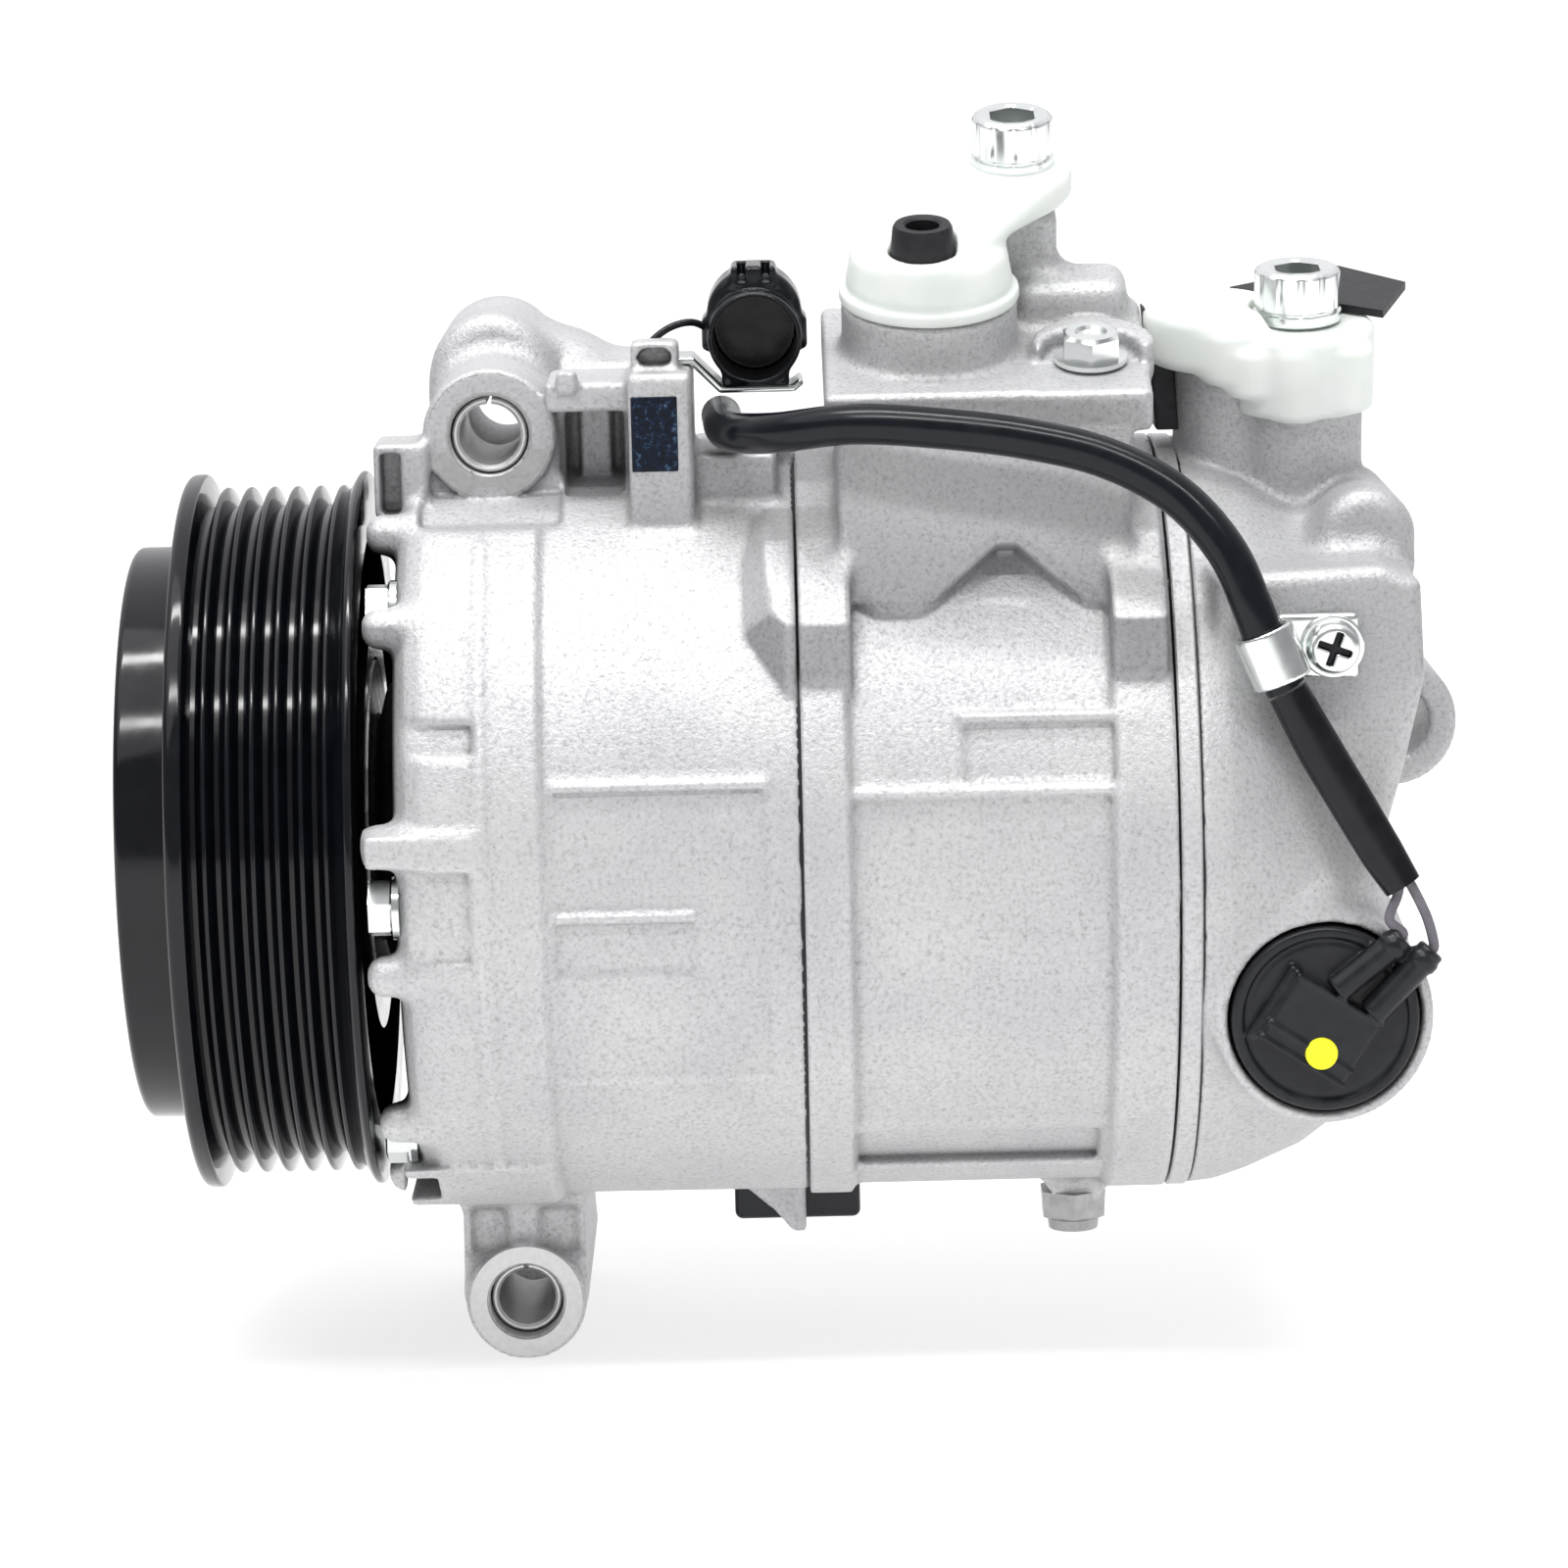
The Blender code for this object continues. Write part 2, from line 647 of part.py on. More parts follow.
turned(
    "hub_bolt",
    [
        (0.0200, 0),
        (0.0200, 0.0030),
        (0.0072, 0.0030),
        (0.0072, 0.0100),
        (0.0055, 0.0100),
        (0.0052, 0.0068),
        (0, 0.0068),
        (0, 0),
    ],
    STEEL,
    16,
)
turned(
    "shaft",
    [
        (0.1200, 0),
        (0.1200, SHAFT_R),
        (0.0205, SHAFT_R),
        (0.0205, 0.0061),
        (0.0077, 0.0061),
        (0.0077, 0.0033),
        (0.0205, 0.0033),
        (0.0205, 0),
    ],
    GROUND,
    24,
)
lug_plate = turned(
    "lug_plate",
    [(0.0553, SHAFT_R + GAP), (0.0553, 0.0280), (0.0568, 0.0295), (0.0610, 0.0295), (0.0610, SHAFT_R + GAP)],
    GROUND,
    28,
)
add(
    lug_plate,
    box("lug_arm_1", (0.0600, -0.0110, 0.0140), (0.0680, -0.0060, 0.0230)),
    box("lug_arm_2", (0.0600, 0.0060, 0.0140), (0.0680, 0.0110, 0.0230)),
    box("lug_balance", (0.0600, -0.0100, -0.0240), (0.0640, 0.0100, -0.0150)),
)


PER_TURN = 10


def coil(name, start, end, radius, turns, thickness, stuff):
    count = turns * PER_TURN
    points = []
    for i in range(count + 1):
        angle = 2 * math.pi * i / PER_TURN
        points.append((start + (end - start) * i / count, radius * math.cos(angle), radius * math.sin(angle)))
    return wire(name, points, thickness / 2, stuff, 1, 1)


coil("return_spring", 0.0625, 0.0698, 0.0104, 3, 0.0018, STEEL)

# ---- Swash plate and pistons --------------------------------------------------------------------

SWASH_FACES_X = (SWASH_X - SWASH_T / 2, SWASH_X + SWASH_T / 2)
turned(
    "swash_plate",
    [
        (SWASH_X - 0.0090, 0.0126),
        (SWASH_X - 0.0090, 0.0200),
        (SWASH_FACES_X[0], 0.0200),
        (SWASH_FACES_X[0], SWASH_R),
        (SWASH_FACES_X[1], SWASH_R),
        (SWASH_FACES_X[1], 0.0200),
        (SWASH_X + 0.0090, 0.0200),
        (SWASH_X + 0.0090, 0.0126),
    ],
    GROUND,
)

PISTON_FRONT = -0.0132  # from the swash plate's middle
PISTON_CROWN = 0.0575
PISTON_SKIRT = 0.0315
JAW_GAP = 0.0088
JAW_HALF_WIDTH = 0.0087
JAW_INNER = -0.0082  # from the piston's axis towards the shaft
JAW_OUTER = 0.0089
SHOE_R = 0.0107


def piston_mesh():
    """One piston on its own axis: X along the shaft from the swash plate's middle, Z outwards."""
    body = rod("piston_blank", (PISTON_FRONT, 0, 0), (PISTON_CROWN, 0, 0), PISTON_R, 16)
    far = 0.0300
    cut(
        body,
        box("jaw_slot", (-JAW_GAP, -far, -far), (JAW_GAP, far, JAW_OUTER)),
        box("jaw_side_1", (-far, JAW_HALF_WIDTH, -far), (PISTON_SKIRT, far, far)),
        box("jaw_side_2", (-far, -far, -far), (PISTON_SKIRT, -JAW_HALF_WIDTH, far)),
        box("jaw_inner", (-far, -far - 0.001, -far - 0.001), (PISTON_SKIRT - 0.001, far + 0.001, JAW_INNER)),
    )
    pocket = bmesh.new()
    bmesh.ops.create_uvsphere(pocket, u_segments=10, v_segments=6, radius=SHOE_R)
    cut(body, from_bmesh("shoe_pocket", pocket, None, True))
    bpy.context.view_layer.update()
    graph = bpy.context.evaluated_depsgraph_get()
    mesh = bpy.data.meshes.new_from_object(body.evaluated_get(graph))
    mesh.name = "piston"
    mesh.materials.clear()
    mesh.materials.append(PISTON_METAL)
    return mesh


shared_piston = piston_mesh()
for index in range(CYLINDERS):
    y, z = around(PISTON_PITCH_R, piston_angle(index))
    piston = bpy.data.objects.new(f"piston_{index + 1}", shared_piston)
    parts.objects.link(piston)
    turn = Matrix.Rotation(math.radians(90 - piston_angle(index)), 4, "X")
    piston.matrix_world = Matrix.Translation((SWASH_X, y, z)) @ turn

# ---- Port caps and their bolts ------------------------------------------------------------------


def capsule(start, end, radius):
    """Outline of a bar with round ends, in a slab's plane."""
    heading = math.degrees(math.atan2(end[1] - start[1], end[0] - start[0]))
    far_end = arc(end, radius, heading - 90, heading + 90, 6)
    return far_end + arc(start, radius, heading + 90, heading + 270, 6)


SUCTION_BOLT = (0.0132, 0.0180)
up = Matrix.Rotation(math.radians(-90), 4, "Y")  # a turned piece's X axis up the port
cap = turned(
    "suction_port_cap",
    [
        (0.0945, 0),
        (0.0945, 0.0080),
        (0.0925, 0.0118),
        (0.0890, 0.0133),
        (0.0852, 0.0133),
        (0.0852, 0.0082),
        (0.0800, 0.0082),
        (0.0800, 0),
    ],
    CAP_PLASTIC,
    20,
    SUCTION @ up,
)
add(
    cap,
    slab("cap_arm", capsule((0.003, 0.004), SUCTION_BOLT, 0.0080), 0.0940, 0.0988, frame=SUCTION),
    slab("cap_rise", capsule((0.0008, 0.0010), (0.0030, 0.0040), 0.0078), 0.0900, 0.0960, frame=SUCTION),
)
cut(
    cap,
    rod("cap_bolt_hole", (*SUCTION_BOLT, 0.0850), (*SUCTION_BOLT, 0.1000), 0.0043, 12, frame=SUCTION),
    rod("plug_seat", (-0.0010, -0.0050, 0.0922), (-0.0010, -0.0050, 0.1000), 0.0052, 16, frame=SUCTION),
)


def cap_bolt(name, frame, place, seat, tip, head_r):
    """A hexagon-socket cap screw standing in a port's frame."""
    screw = turned(
        name,
        [
            (seat + 0.008, 0),
            (seat + 0.008, head_r - 0.0006),
            (seat + 0.0074, head_r),
            (seat, head_r),
            (seat, 0.0039),
            (tip, 0.0039),
            (tip, 0),
        ],
        STEEL,
        16,
        frame @ Matrix.Translation((*place, 0)) @ up,
    )
    socket = rod(f"{name}_socket", (*place, seat + 0.0035), (*place, seat + 0.009), 0.0034, 6, frame=frame)
    cut(screw, socket)


cap_bolt("suction_cap_bolt", SUCTION, SUCTION_BOLT, 0.0991, 0.0745, 0.0062)
PLUG = (-0.0010, -0.0050)
plug = rod("suction_cap_plug", (*PLUG, 0.0925), (*PLUG, 0.0985), 0.0047, 20, RUBBER, 0.0042, SUCTION)
cut(plug, rod("plug_bore", (*PLUG, 0.0950), (*PLUG, 0.1000), 0.0025, 12, frame=SUCTION))

discharge_cap = slab(
    "discharge_port_cap",
    arc((0, 0), 0.0118, -110, 110, 12) + arc((-0.0120, 0.0020), 0.0100, 100, 260, 8),
    0.0645,
    0.0774,
    CAP_PLASTIC,
    DISCHARGE,
)
cut(
    discharge_cap,
    rod("cap_room_1", (0, 0, 0.0600), (0, 0, 0.0708), 0.0103, 20, frame=DISCHARGE),
    rod("cap_room_2", (*SIDE_PORT, 0.0600), (*SIDE_PORT, 0.0708), 0.0081, 16, frame=DISCHARGE),
    rod("cap_bolt_way", (0, 0, 0.0600), (0, 0, 0.0800), 0.0043, 12, frame=DISCHARGE),
)
cap_bolt("discharge_cap_bolt", DISCHARGE, (0, 0), 0.0777, 0.0505, 0.0066)
slab(
    "seal_pad",
    [(-0.0088, 0.0147), (0.0128, -0.0010), (0.0180, 0.0152), (0.0087, 0.0260)],
    0.0777,
    0.0789,
    RUBBER,
    DISCHARGE,
)

PORT_BOLT = (0.0235, -0.0070)
hex_bolt = rod("port_block_bolt", (*PORT_BOLT, 0.0775), (*PORT_BOLT, 0.0819), 0.0046, 6, STEEL, frame=SUCTION)
add(hex_bolt, rod("port_bolt_shank", (*PORT_BOLT, 0.0650), (*PORT_BOLT, 0.0790), 0.0025, 8, frame=SUCTION))

# ---- Control valve and its rubber boot ----------------------------------------------------------

VALVE = Matrix.Translation((VALVE_X, 0, VALVE_Z)) @ Matrix.Rotation(math.radians(-90), 4, "Z")  # X towards -Y
turned(
    "control_valve",
    [
        (0.0466, 0),
        (0.0466, 0.0107),
        (0.0200, 0.0107),
        (0.0195, 0.0090),
        (0.0175, 0.0090),
        (0.0170, 0.0107),
        (0.0020, 0.0107),
        (-0.0060, 0.0075),
        (-0.0060, 0),
    ],
    GROUND,
    16,
    VALVE,
)
boot = turned(
    "valve_boot",
    [(0.0560, 0), (0.0560, 0.0125), (0.0552, 0.0137), (0.0473, 0.0137), (0.0473, 0)],
    BLACK_PLASTIC,
    24,
    VALVE,
)
BOOT_FACE_Y = -0.0560
boot_middle = Matrix.Translation((VALVE_X - 0.0010, BOOT_FACE_Y, VALVE_Z - 0.0012))
boot_tilt = boot_middle @ Matrix.Rotation(math.radians(33), 4, "Y")
add(
    boot,
    box("boot_pad", (-0.0072, -0.0024, -0.0055), (0.0072, 0.0010, 0.0050), frame=boot_tilt),
    rod("wire_seal_a", (0.1779, -0.0576, -0.0169), (0.1866, -0.0576, -0.0102), 0.0021, 10),
    rod("wire_seal_b", (0.1830, -0.0576, -0.0206), (0.1911, -0.0576, -0.0120), 0.0021, 10),
)

# ---- The loom -----------------------------------------------------------------------------------

wire("harness_wire_a", WIRE_A_ROUTE, WIRE_R, GREY_WIRE, 3, 1)
wire("harness_wire_b", WIRE_B_ROUTE, WIRE_R, GREY_WIRE, 3, 1)
wire("harness_sleeve", SLEEVE_ROUTE, SLEEVE_R, BLACK_PLASTIC, 2, 2)
wire("harness_cable", CABLE_ROUTE, CABLE_R, BLACK_GLOSS, 2, 2)

# The clamp's band is a short tube round the cable, with a tongue under the screw.
cable_end = Vector(CABLE_ROUTE[-1])
cable_run = (cable_end - Vector(CABLE_ROUTE[-3])).normalized()
band_start = cable_end - 0.0090 * cable_run
band_end = cable_end - 0.0010 * cable_run
clamp = rod("cable_clamp", band_start, band_end, 0.0043, 16, STEEL)
tongue_back = -SHOULDER_DEPTH - GAP
add(clamp, box("clamp_tongue", (0.1703, tongue_back - 0.0022, 0.0275), (0.1822, tongue_back, 0.0372)))
cut(clamp, rod("clamp_way", band_start - 0.01 * cable_run, band_end + 0.01 * cable_run, CABLE_R + 0.0005, 16))
cut(clamp, along_y("clamp_screw_way", SCREW_XZ, 0.0025, tongue_back - 0.0030, tongue_back + 0.0010, 8))
head_back = SHOULDER_DEPTH + 0.0028
turned(
    "clamp_screw",
    [
        (head_back + 0.0033, 0),
        (head_back + 0.0031, 0.0020),
        (head_back + 0.0023, 0.0036),
        (head_back + 0.0009, 0.0040),
        (head_back, 0.0040),
        (head_back, 0.0020),
        (0.0370, 0.0020),
        (0.0370, 0),
    ],
    STEEL,
    14,
    Matrix.Translation((SCREW_XZ[0], 0, SCREW_XZ[1])) @ Matrix.Rotation(math.radians(-90), 4, "Z"),
)

# ---- Connector and its bracket ------------------------------------------------------------------

CONNECTOR_LOW = (0.0887, -0.0220, 0.0697)
CONNECTOR_HIGH = (0.1029, -0.0020, 0.0815)
shell = box("connector_shell", CONNECTOR_LOW, CONNECTOR_HIGH, BLACK_PLASTIC)
bevel = shell.modifiers.new("rounding", "BEVEL")
bevel.width = 0.0030
bevel.segments = 2
bevel.limit_method = "NONE"
middle_x = (CONNECTOR_LOW[0] + CONNECTOR_HIGH[0]) / 2
add(shell, rod("connector_dome", (middle_x, -0.0180, 0.0790), (middle_x, -0.0040, 0.0790), 0.0062, 12))
mouth_low = (CONNECTOR_LOW[0] + 0.0013, -0.0230, 0.0711)
mouth_high = (CONNECTOR_HIGH[0] - 0.0013, -0.0100, 0.0801)
cut(shell, box("connector_mouth", mouth_low, mouth_high))
slab(
    "connector_bracket",
    [
        (0.0790, 0.0724),
        (0.0857, 0.0724),
        (0.0905, 0.0685),
        (0.1007, 0.0685),
        (0.1007, 0.0693),
        (0.0909, 0.0693),
        (0.0861, 0.0732),
        (0.0790, 0.0732),
    ],
    0.0080,
    0.0178,
    STEEL,
    ON_EDGE,
)

# ---- Ear bushes and relief valve ----------------------------------------------------------------


def ear_bush(name, spec, start, end):
    """A steel sleeve, split along its top."""
    (x, z), _, hole, _ = spec
    place = Matrix.Translation((x, 0, z)) @ Matrix.Rotation(math.radians(90), 4, "Z")
    inner, outer = hole - 0.0013, hole - GAP
    bush = turned(name, [(start, inner), (end, inner), (end, outer), (start, outer)], STEEL, 20, place)
    cut(bush, box(f"{name}_slit", (x - 0.0004, start - 0.001, z), (x + 0.0004, end + 0.001, z + 0.01)))


ear_bush("ear_bush_top", TOP_EAR, -0.0165, 0.0110)
ear_bush("ear_bush_low", LOW_EAR, -0.0095, 0.0170)
rod("relief_valve", (0.1420, -0.0050, -0.0586), (0.1420, -0.0050, -0.0648), 0.0050, 6, GROUND, 0.0044)

# ---- Shading ------------------------------------------------------------------------------------

for piece in parts.objects:
    smooth(piece)
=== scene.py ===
"""Looks of the air-conditioning compressor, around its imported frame. Lengths are millimetres unless a name
ends in _M, and become metres where a mesh is made; materials and lights count in metres. The shaft lies
along +X, -Y faces the viewer and +Z is up."""

import json
import math

import bmesh
import bpy
import numpy as np
import openvdb
from mathutils import Matrix, Vector


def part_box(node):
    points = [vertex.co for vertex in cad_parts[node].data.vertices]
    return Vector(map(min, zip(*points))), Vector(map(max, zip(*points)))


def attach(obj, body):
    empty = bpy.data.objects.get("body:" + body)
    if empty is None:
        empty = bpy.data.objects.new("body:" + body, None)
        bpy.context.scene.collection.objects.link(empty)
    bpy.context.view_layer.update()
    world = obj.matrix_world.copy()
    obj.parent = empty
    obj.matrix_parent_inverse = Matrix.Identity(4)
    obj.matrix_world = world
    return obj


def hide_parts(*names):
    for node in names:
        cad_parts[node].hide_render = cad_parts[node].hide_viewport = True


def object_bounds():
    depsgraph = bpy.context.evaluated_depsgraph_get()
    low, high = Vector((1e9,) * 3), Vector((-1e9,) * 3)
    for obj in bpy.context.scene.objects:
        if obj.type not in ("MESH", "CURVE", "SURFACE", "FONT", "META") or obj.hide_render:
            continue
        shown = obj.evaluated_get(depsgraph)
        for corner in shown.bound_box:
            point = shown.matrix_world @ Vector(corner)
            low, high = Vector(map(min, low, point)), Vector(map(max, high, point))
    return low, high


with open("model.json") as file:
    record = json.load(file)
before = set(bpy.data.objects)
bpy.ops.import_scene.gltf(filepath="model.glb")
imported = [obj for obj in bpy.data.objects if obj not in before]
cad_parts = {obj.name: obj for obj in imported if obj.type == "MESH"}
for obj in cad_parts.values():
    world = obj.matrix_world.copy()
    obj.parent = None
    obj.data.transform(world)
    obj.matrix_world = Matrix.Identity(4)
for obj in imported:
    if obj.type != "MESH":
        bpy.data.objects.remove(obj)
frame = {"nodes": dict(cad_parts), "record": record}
cad_low, cad_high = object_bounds()

MM = 0.001
FAR = 6.0  # distances in a casting's grid stop here
CASTING_STEP = 0.68
DETAIL_STEP = 0.28
SCREW_STEP = 0.16
TABLE_STEP = 0.25

# ---- Driving sizes and stations -----------------------------------------------------------------

FLANGE_R = 58.0
BARREL_R = 57.0
CHAMBER_R = 54.3  # the hollow in which the swash plate tilts
CHAMBER_X = (52.6, 106.0)
SHELF_WALL = 1.4  # left between the chamber and the shelf before the upper ear
SLOT_WALL = 1.1
FRONT_END = 100.8
BLOCK_START, BLOCK_END = 101.2, 155.4
REAR_START = 159.0
CYLINDERS = 7
STEP_DEG = 360 / CYLINDERS
FIRST_BOLT_DEG = 48.4
BOLT_PITCH_R = 51.2
# Where lines along Y cross the XZ plane: the three ears' bores, the control valve and the clamp's screw.
TOP_EAR = (55.8, 62.2)
LOW_EAR = (56.9, -73.0)
REAR_EAR = (194.9, 9.1)
VALVE = (176.5, -21.5)
CLAMP_SCREW = (178.3, 32.5)

# ---- Scene --------------------------------------------------------------------------------------

scene = bpy.context.scene
scene.view_settings.view_transform = "Standard"

CAMERA_AIM = Vector((98.6, 0.0, 5.2)) * MM
CAMERA_AWAY_M = 0.850
CAMERA_ELEVATION = math.radians(10.0)
CAMERA_ROLL = math.radians(1.35)
CAMERA_LENS = 126.4  # on a sensor 36 mm wide


def make_camera():
    data = bpy.data.cameras.new("camera")
    data.sensor_width = 36.0
    data.lens = CAMERA_LENS
    camera = bpy.data.objects.new("camera", data)
    scene.collection.objects.link(camera)
    look = Vector((0, math.cos(CAMERA_ELEVATION), -math.sin(CAMERA_ELEVATION)))
    level_up = Vector((0, math.sin(CAMERA_ELEVATION), math.cos(CAMERA_ELEVATION)))
    right = math.cos(CAMERA_ROLL) * Vector((1, 0, 0)) - math.sin(CAMERA_ROLL) * level_up
    up = math.sin(CAMERA_ROLL) * Vector((1, 0, 0)) + math.cos(CAMERA_ROLL) * level_up
    turn = Matrix((right, up, -look)).transposed().to_4x4()
    camera.matrix_world = Matrix.Translation(CAMERA_AIM - CAMERA_AWAY_M * look) @ turn
    data.clip_end = 100
    scene.camera = camera


def area_light(name, place, aim, size, radiance):
    data = bpy.data.lights.new(name, "AREA")
    data.shape = "RECTANGLE"
    data.size, data.size_y = size
    data.energy = radiance * math.pi * size[0] * size[1]
    light = bpy.data.objects.new(name, data)
    scene.collection.objects.link(light)
    light.location = place
    light.rotation_euler = (Vector(place) - Vector(aim)).to_track_quat("Z", "X").to_euler()


def make_lights():
    """Two long strips in front, which streak the belt wheel, and a broad soft light overhead."""
    middle = Vector((0.1, 0, 0))
    for name, elevation, wide, radiance in (("strip_high", 83, 0.10, 27.0), ("strip_low", 54, 0.09, 25.0)):
        a = math.radians(elevation)
        place = middle + 1.5 * Vector((0, -math.cos(a), math.sin(a)))
        area_light(name, place, middle, (wide, 1.3), radiance)
    data = bpy.data.lights.new("overhead", "SUN")
    data.energy = 0.8
    data.angle = math.radians(60)
    sun = bpy.data.objects.new("overhead", data)
    scene.collection.objects.link(sun)
    sun.rotation_euler = Vector((-0.40, -0.35, 1)).to_track_quat("Z", "X").to_euler()


def make_world():
    """A pale studio, darker towards the viewer's side and below."""
    world = bpy.data.worlds.new("studio")
    scene.world = world
    world.use_nodes = True
    nodes, links = world.node_tree.nodes, world.node_tree.links
    place = nodes.new("ShaderNodeTexCoord")
    height = nodes.new("ShaderNodeVectorMath")
    height.operation = "DOT_PRODUCT"
    height.inputs[1].default_value = (0, 0.5, 0.75)
    tones = nodes.new("ShaderNodeValToRGB")
    links.new(place.outputs["Generated"], height.inputs[0])
    links.new(height.outputs["Value"], tones.inputs[0])
    links.new(tones.outputs[0], nodes["Background"].inputs["Color"])
    nodes["Background"].inputs["Strength"].default_value = 1.0
    stops = tones.color_ramp.elements
    stops[0].position, stops[0].color = 0.25, (0.34, 0.34, 0.35, 1)
    stops[1].position, stops[1].color = 0.75, (0.98, 0.98, 1.0, 1)


def make_floor():
    half = 30.0
    mesh = bpy.data.meshes.new("floor")
    z = cad_low[2] - 0.0005
    corners = [(-half, -half, z), (half, -half, z), (half, half, z), (-half, half, z)]
    mesh.from_pydata(corners, [], [(0, 1, 2, 3)])
    floor = bpy.data.objects.new("floor", mesh)
    scene.collection.objects.link(floor)
    white, shader = new_material("floor")
    shader.inputs["Base Color"].default_value = (0.5, 0.5, 0.5, 1)
    shader.inputs["Roughness"].default_value = 0.9
    shader.inputs["Emission Color"].default_value = (1, 1, 1, 1)
    shader.inputs["Emission Strength"].default_value = 0.62
    mesh.materials.append(white)


# ---- Materials ----------------------------------------------------------------------------------


def new_material(name):
    made = bpy.data.materials.new(name)
    made.use_nodes = True
    return made, made.node_tree.nodes["Principled BSDF"]


def node(made, kind, **settings):
    new = made.node_tree.nodes.new(kind)
    for key, value in settings.items():
        setattr(new, key, value)
    return new


def join(made, output, target):
    made.node_tree.links.new(output, target)


def noise(made, scale, detail=2.0, roughness=0.5):
    """Noise of that many waves a metre, in the object's own space."""
    place = node(made, "ShaderNodeTexCoord")
    new = node(made, "ShaderNodeTexNoise")
    new.inputs["Scale"].default_value = scale
    new.inputs["Detail"].default_value = detail
    new.inputs["Roughness"].default_value = roughness
    join(made, place.outputs["Object"], new.inputs["Vector"])
    return new.outputs["Fac"]


def ramp(made, value, stops):
    new = node(made, "ShaderNodeValToRGB")
    join(made, value, new.inputs[0])
    elements = new.color_ramp.elements
    while len(elements) < len(stops):
        elements.new(0.5)
    for element, (position, colour) in zip(elements, stops):
        element.position = position
        element.color = (*colour, 1) if len(colour) == 3 else colour
    return new.outputs[0]


def spread(made, value, low, high, new_low, new_high):
    new = node(made, "ShaderNodeMapRange")
    join(made, value, new.inputs["Value"])
    for key, number in (("From Min", low), ("From Max", high), ("To Min", new_low), ("To Max", new_high)):
        new.inputs[key].default_value = number
    return new.outputs["Result"]


def multiply(made, a, b, factor=1.0):
    new = node(made, "ShaderNodeMix", data_type="RGBA", blend_type="MULTIPLY")
    new.inputs[0].default_value = factor
    join(made, a, new.inputs[6])
    join(made, b, new.inputs[7])
    return new.outputs[2]


def bump(made, shader, height, strength, distance):
    new = node(made, "ShaderNodeBump")
    new.inputs["Strength"].default_value = strength
    new.inputs["Distance"].default_value = distance
    join(made, height, new.inputs["Height"])
    join(made, new.outputs["Normal"], shader.inputs["Normal"])


def grey(level):
    return (level, level, level)


def arithmetic(made, operation, a, b):
    new = node(made, "ShaderNodeMath", operation=operation)
    for slot, value in zip(new.inputs, (a, b)):
        if isinstance(value, float):
            slot.default_value = value
        else:
            join(made, value, slot)
    return new.outputs[0]


def cast_metal():
    """Shot-blasted aluminium: pale, with a fine grain and slow cloudy patches. Painted shade darkens the
    hollows, the upper walls and the rear end, and a painted shadow makes the face behind the belt wheel
    almost black."""
    made, shader = new_material("cast_metal")
    grain = noise(made, 1500, 3.0, 0.7)
    clouds = noise(made, 42, 3.0, 0.55)
    speckle = ramp(made, grain, [(0.30, grey(0.66)), (0.46, grey(0.90)), (0.66, grey(1.0))])
    patches = ramp(made, clouds, [(0.32, (0.59, 0.59, 0.602)), (0.62, (0.665, 0.665, 0.67))])
    colour = multiply(made, patches, speckle)
    # Painted shade: hollows, found by pointiness, darkened down to half as if shaded.
    shape = node(made, "ShaderNodeNewGeometry")
    painted_hollow_shade = [(0.42, grey(0.50)), (0.49, grey(0.93)), (0.53, grey(1.0))]
    colour = multiply(made, colour, ramp(made, shape.outputs["Pointiness"], painted_hollow_shade))
    place = node(made, "ShaderNodeTexCoord")
    spot = node(made, "ShaderNodeSeparateXYZ")
    join(made, place.outputs["Object"], spot.inputs[0])
    facing = node(made, "ShaderNodeSeparateXYZ")
    join(made, place.outputs["Normal"], facing.inputs[0])
    # Painted shade: upright walls high on the castings greyed as if shaded, eased past the rear joint.
    rising = spread(made, spot.outputs["Z"], 0.022, 0.030, 0.0, 1.0)
    falling = spread(made, spot.outputs["Z"], 0.040, 0.064, 1.0, 0.3)
    high = arithmetic(made, "MULTIPLY", rising, falling)
    wall = spread(made, facing.outputs["Z"], 0.15, 0.42, 1.0, 0.0)
    cloudy = spread(made, clouds, 0.3, 0.7, 0.55, 1.0)
    painted_wall_shade = arithmetic(made, "MULTIPLY", arithmetic(made, "MULTIPLY", high, wall), cloudy)
    before_rear = spread(made, spot.outputs["X"], 0.158, 0.164, 1.0, 0.35)
    painted_wall_shade = arithmetic(made, "MULTIPLY", painted_wall_shade, before_rear)
    colour = multiply(made, colour, ramp(made, painted_wall_shade, [(0.0, grey(1.0)), (1.0, (0.50, 0.50, 0.51))]))
    # Painted shade: the rear end darkened by a tenth, standing in for light falling off there.
    rear_painted_shade = spread(made, spot.outputs["X"], 0.150, 0.185, 1.0, 0.90)
    colour = multiply(made, colour, rear_painted_shade)
    # Painted shadow: the housing's face inside the belt wheel, near black.
    y, z = spot.outputs["Y"], spot.outputs["Z"]
    squares = [arithmetic(made, "MULTIPLY", value, value) for value in (y, z)]
    square = arithmetic(made, "ADD", *squares)
    inward = spread(made, square, 0.0545**2, 0.0525**2, 0.0, 1.0)
    forward = spread(made, spot.outputs["X"], 0.0435, 0.0415, 0.0, 1.0)
    painted_pulley_shadow = arithmetic(made, "MULTIPLY", inward, forward)
    colour = multiply(made, colour, ramp(made, painted_pulley_shadow, [(0.0, grey(1.0)), (1.0, grey(0.03))]))
    join(made, colour, shader.inputs["Base Color"])
    join(made, spread(made, grain, 0.3, 0.7, 0.60, 0.44), shader.inputs["Roughness"])
    shader.inputs["Metallic"].default_value = 0.5
    bump(made, shader, grain, 0.7, 0.00025)
    return made


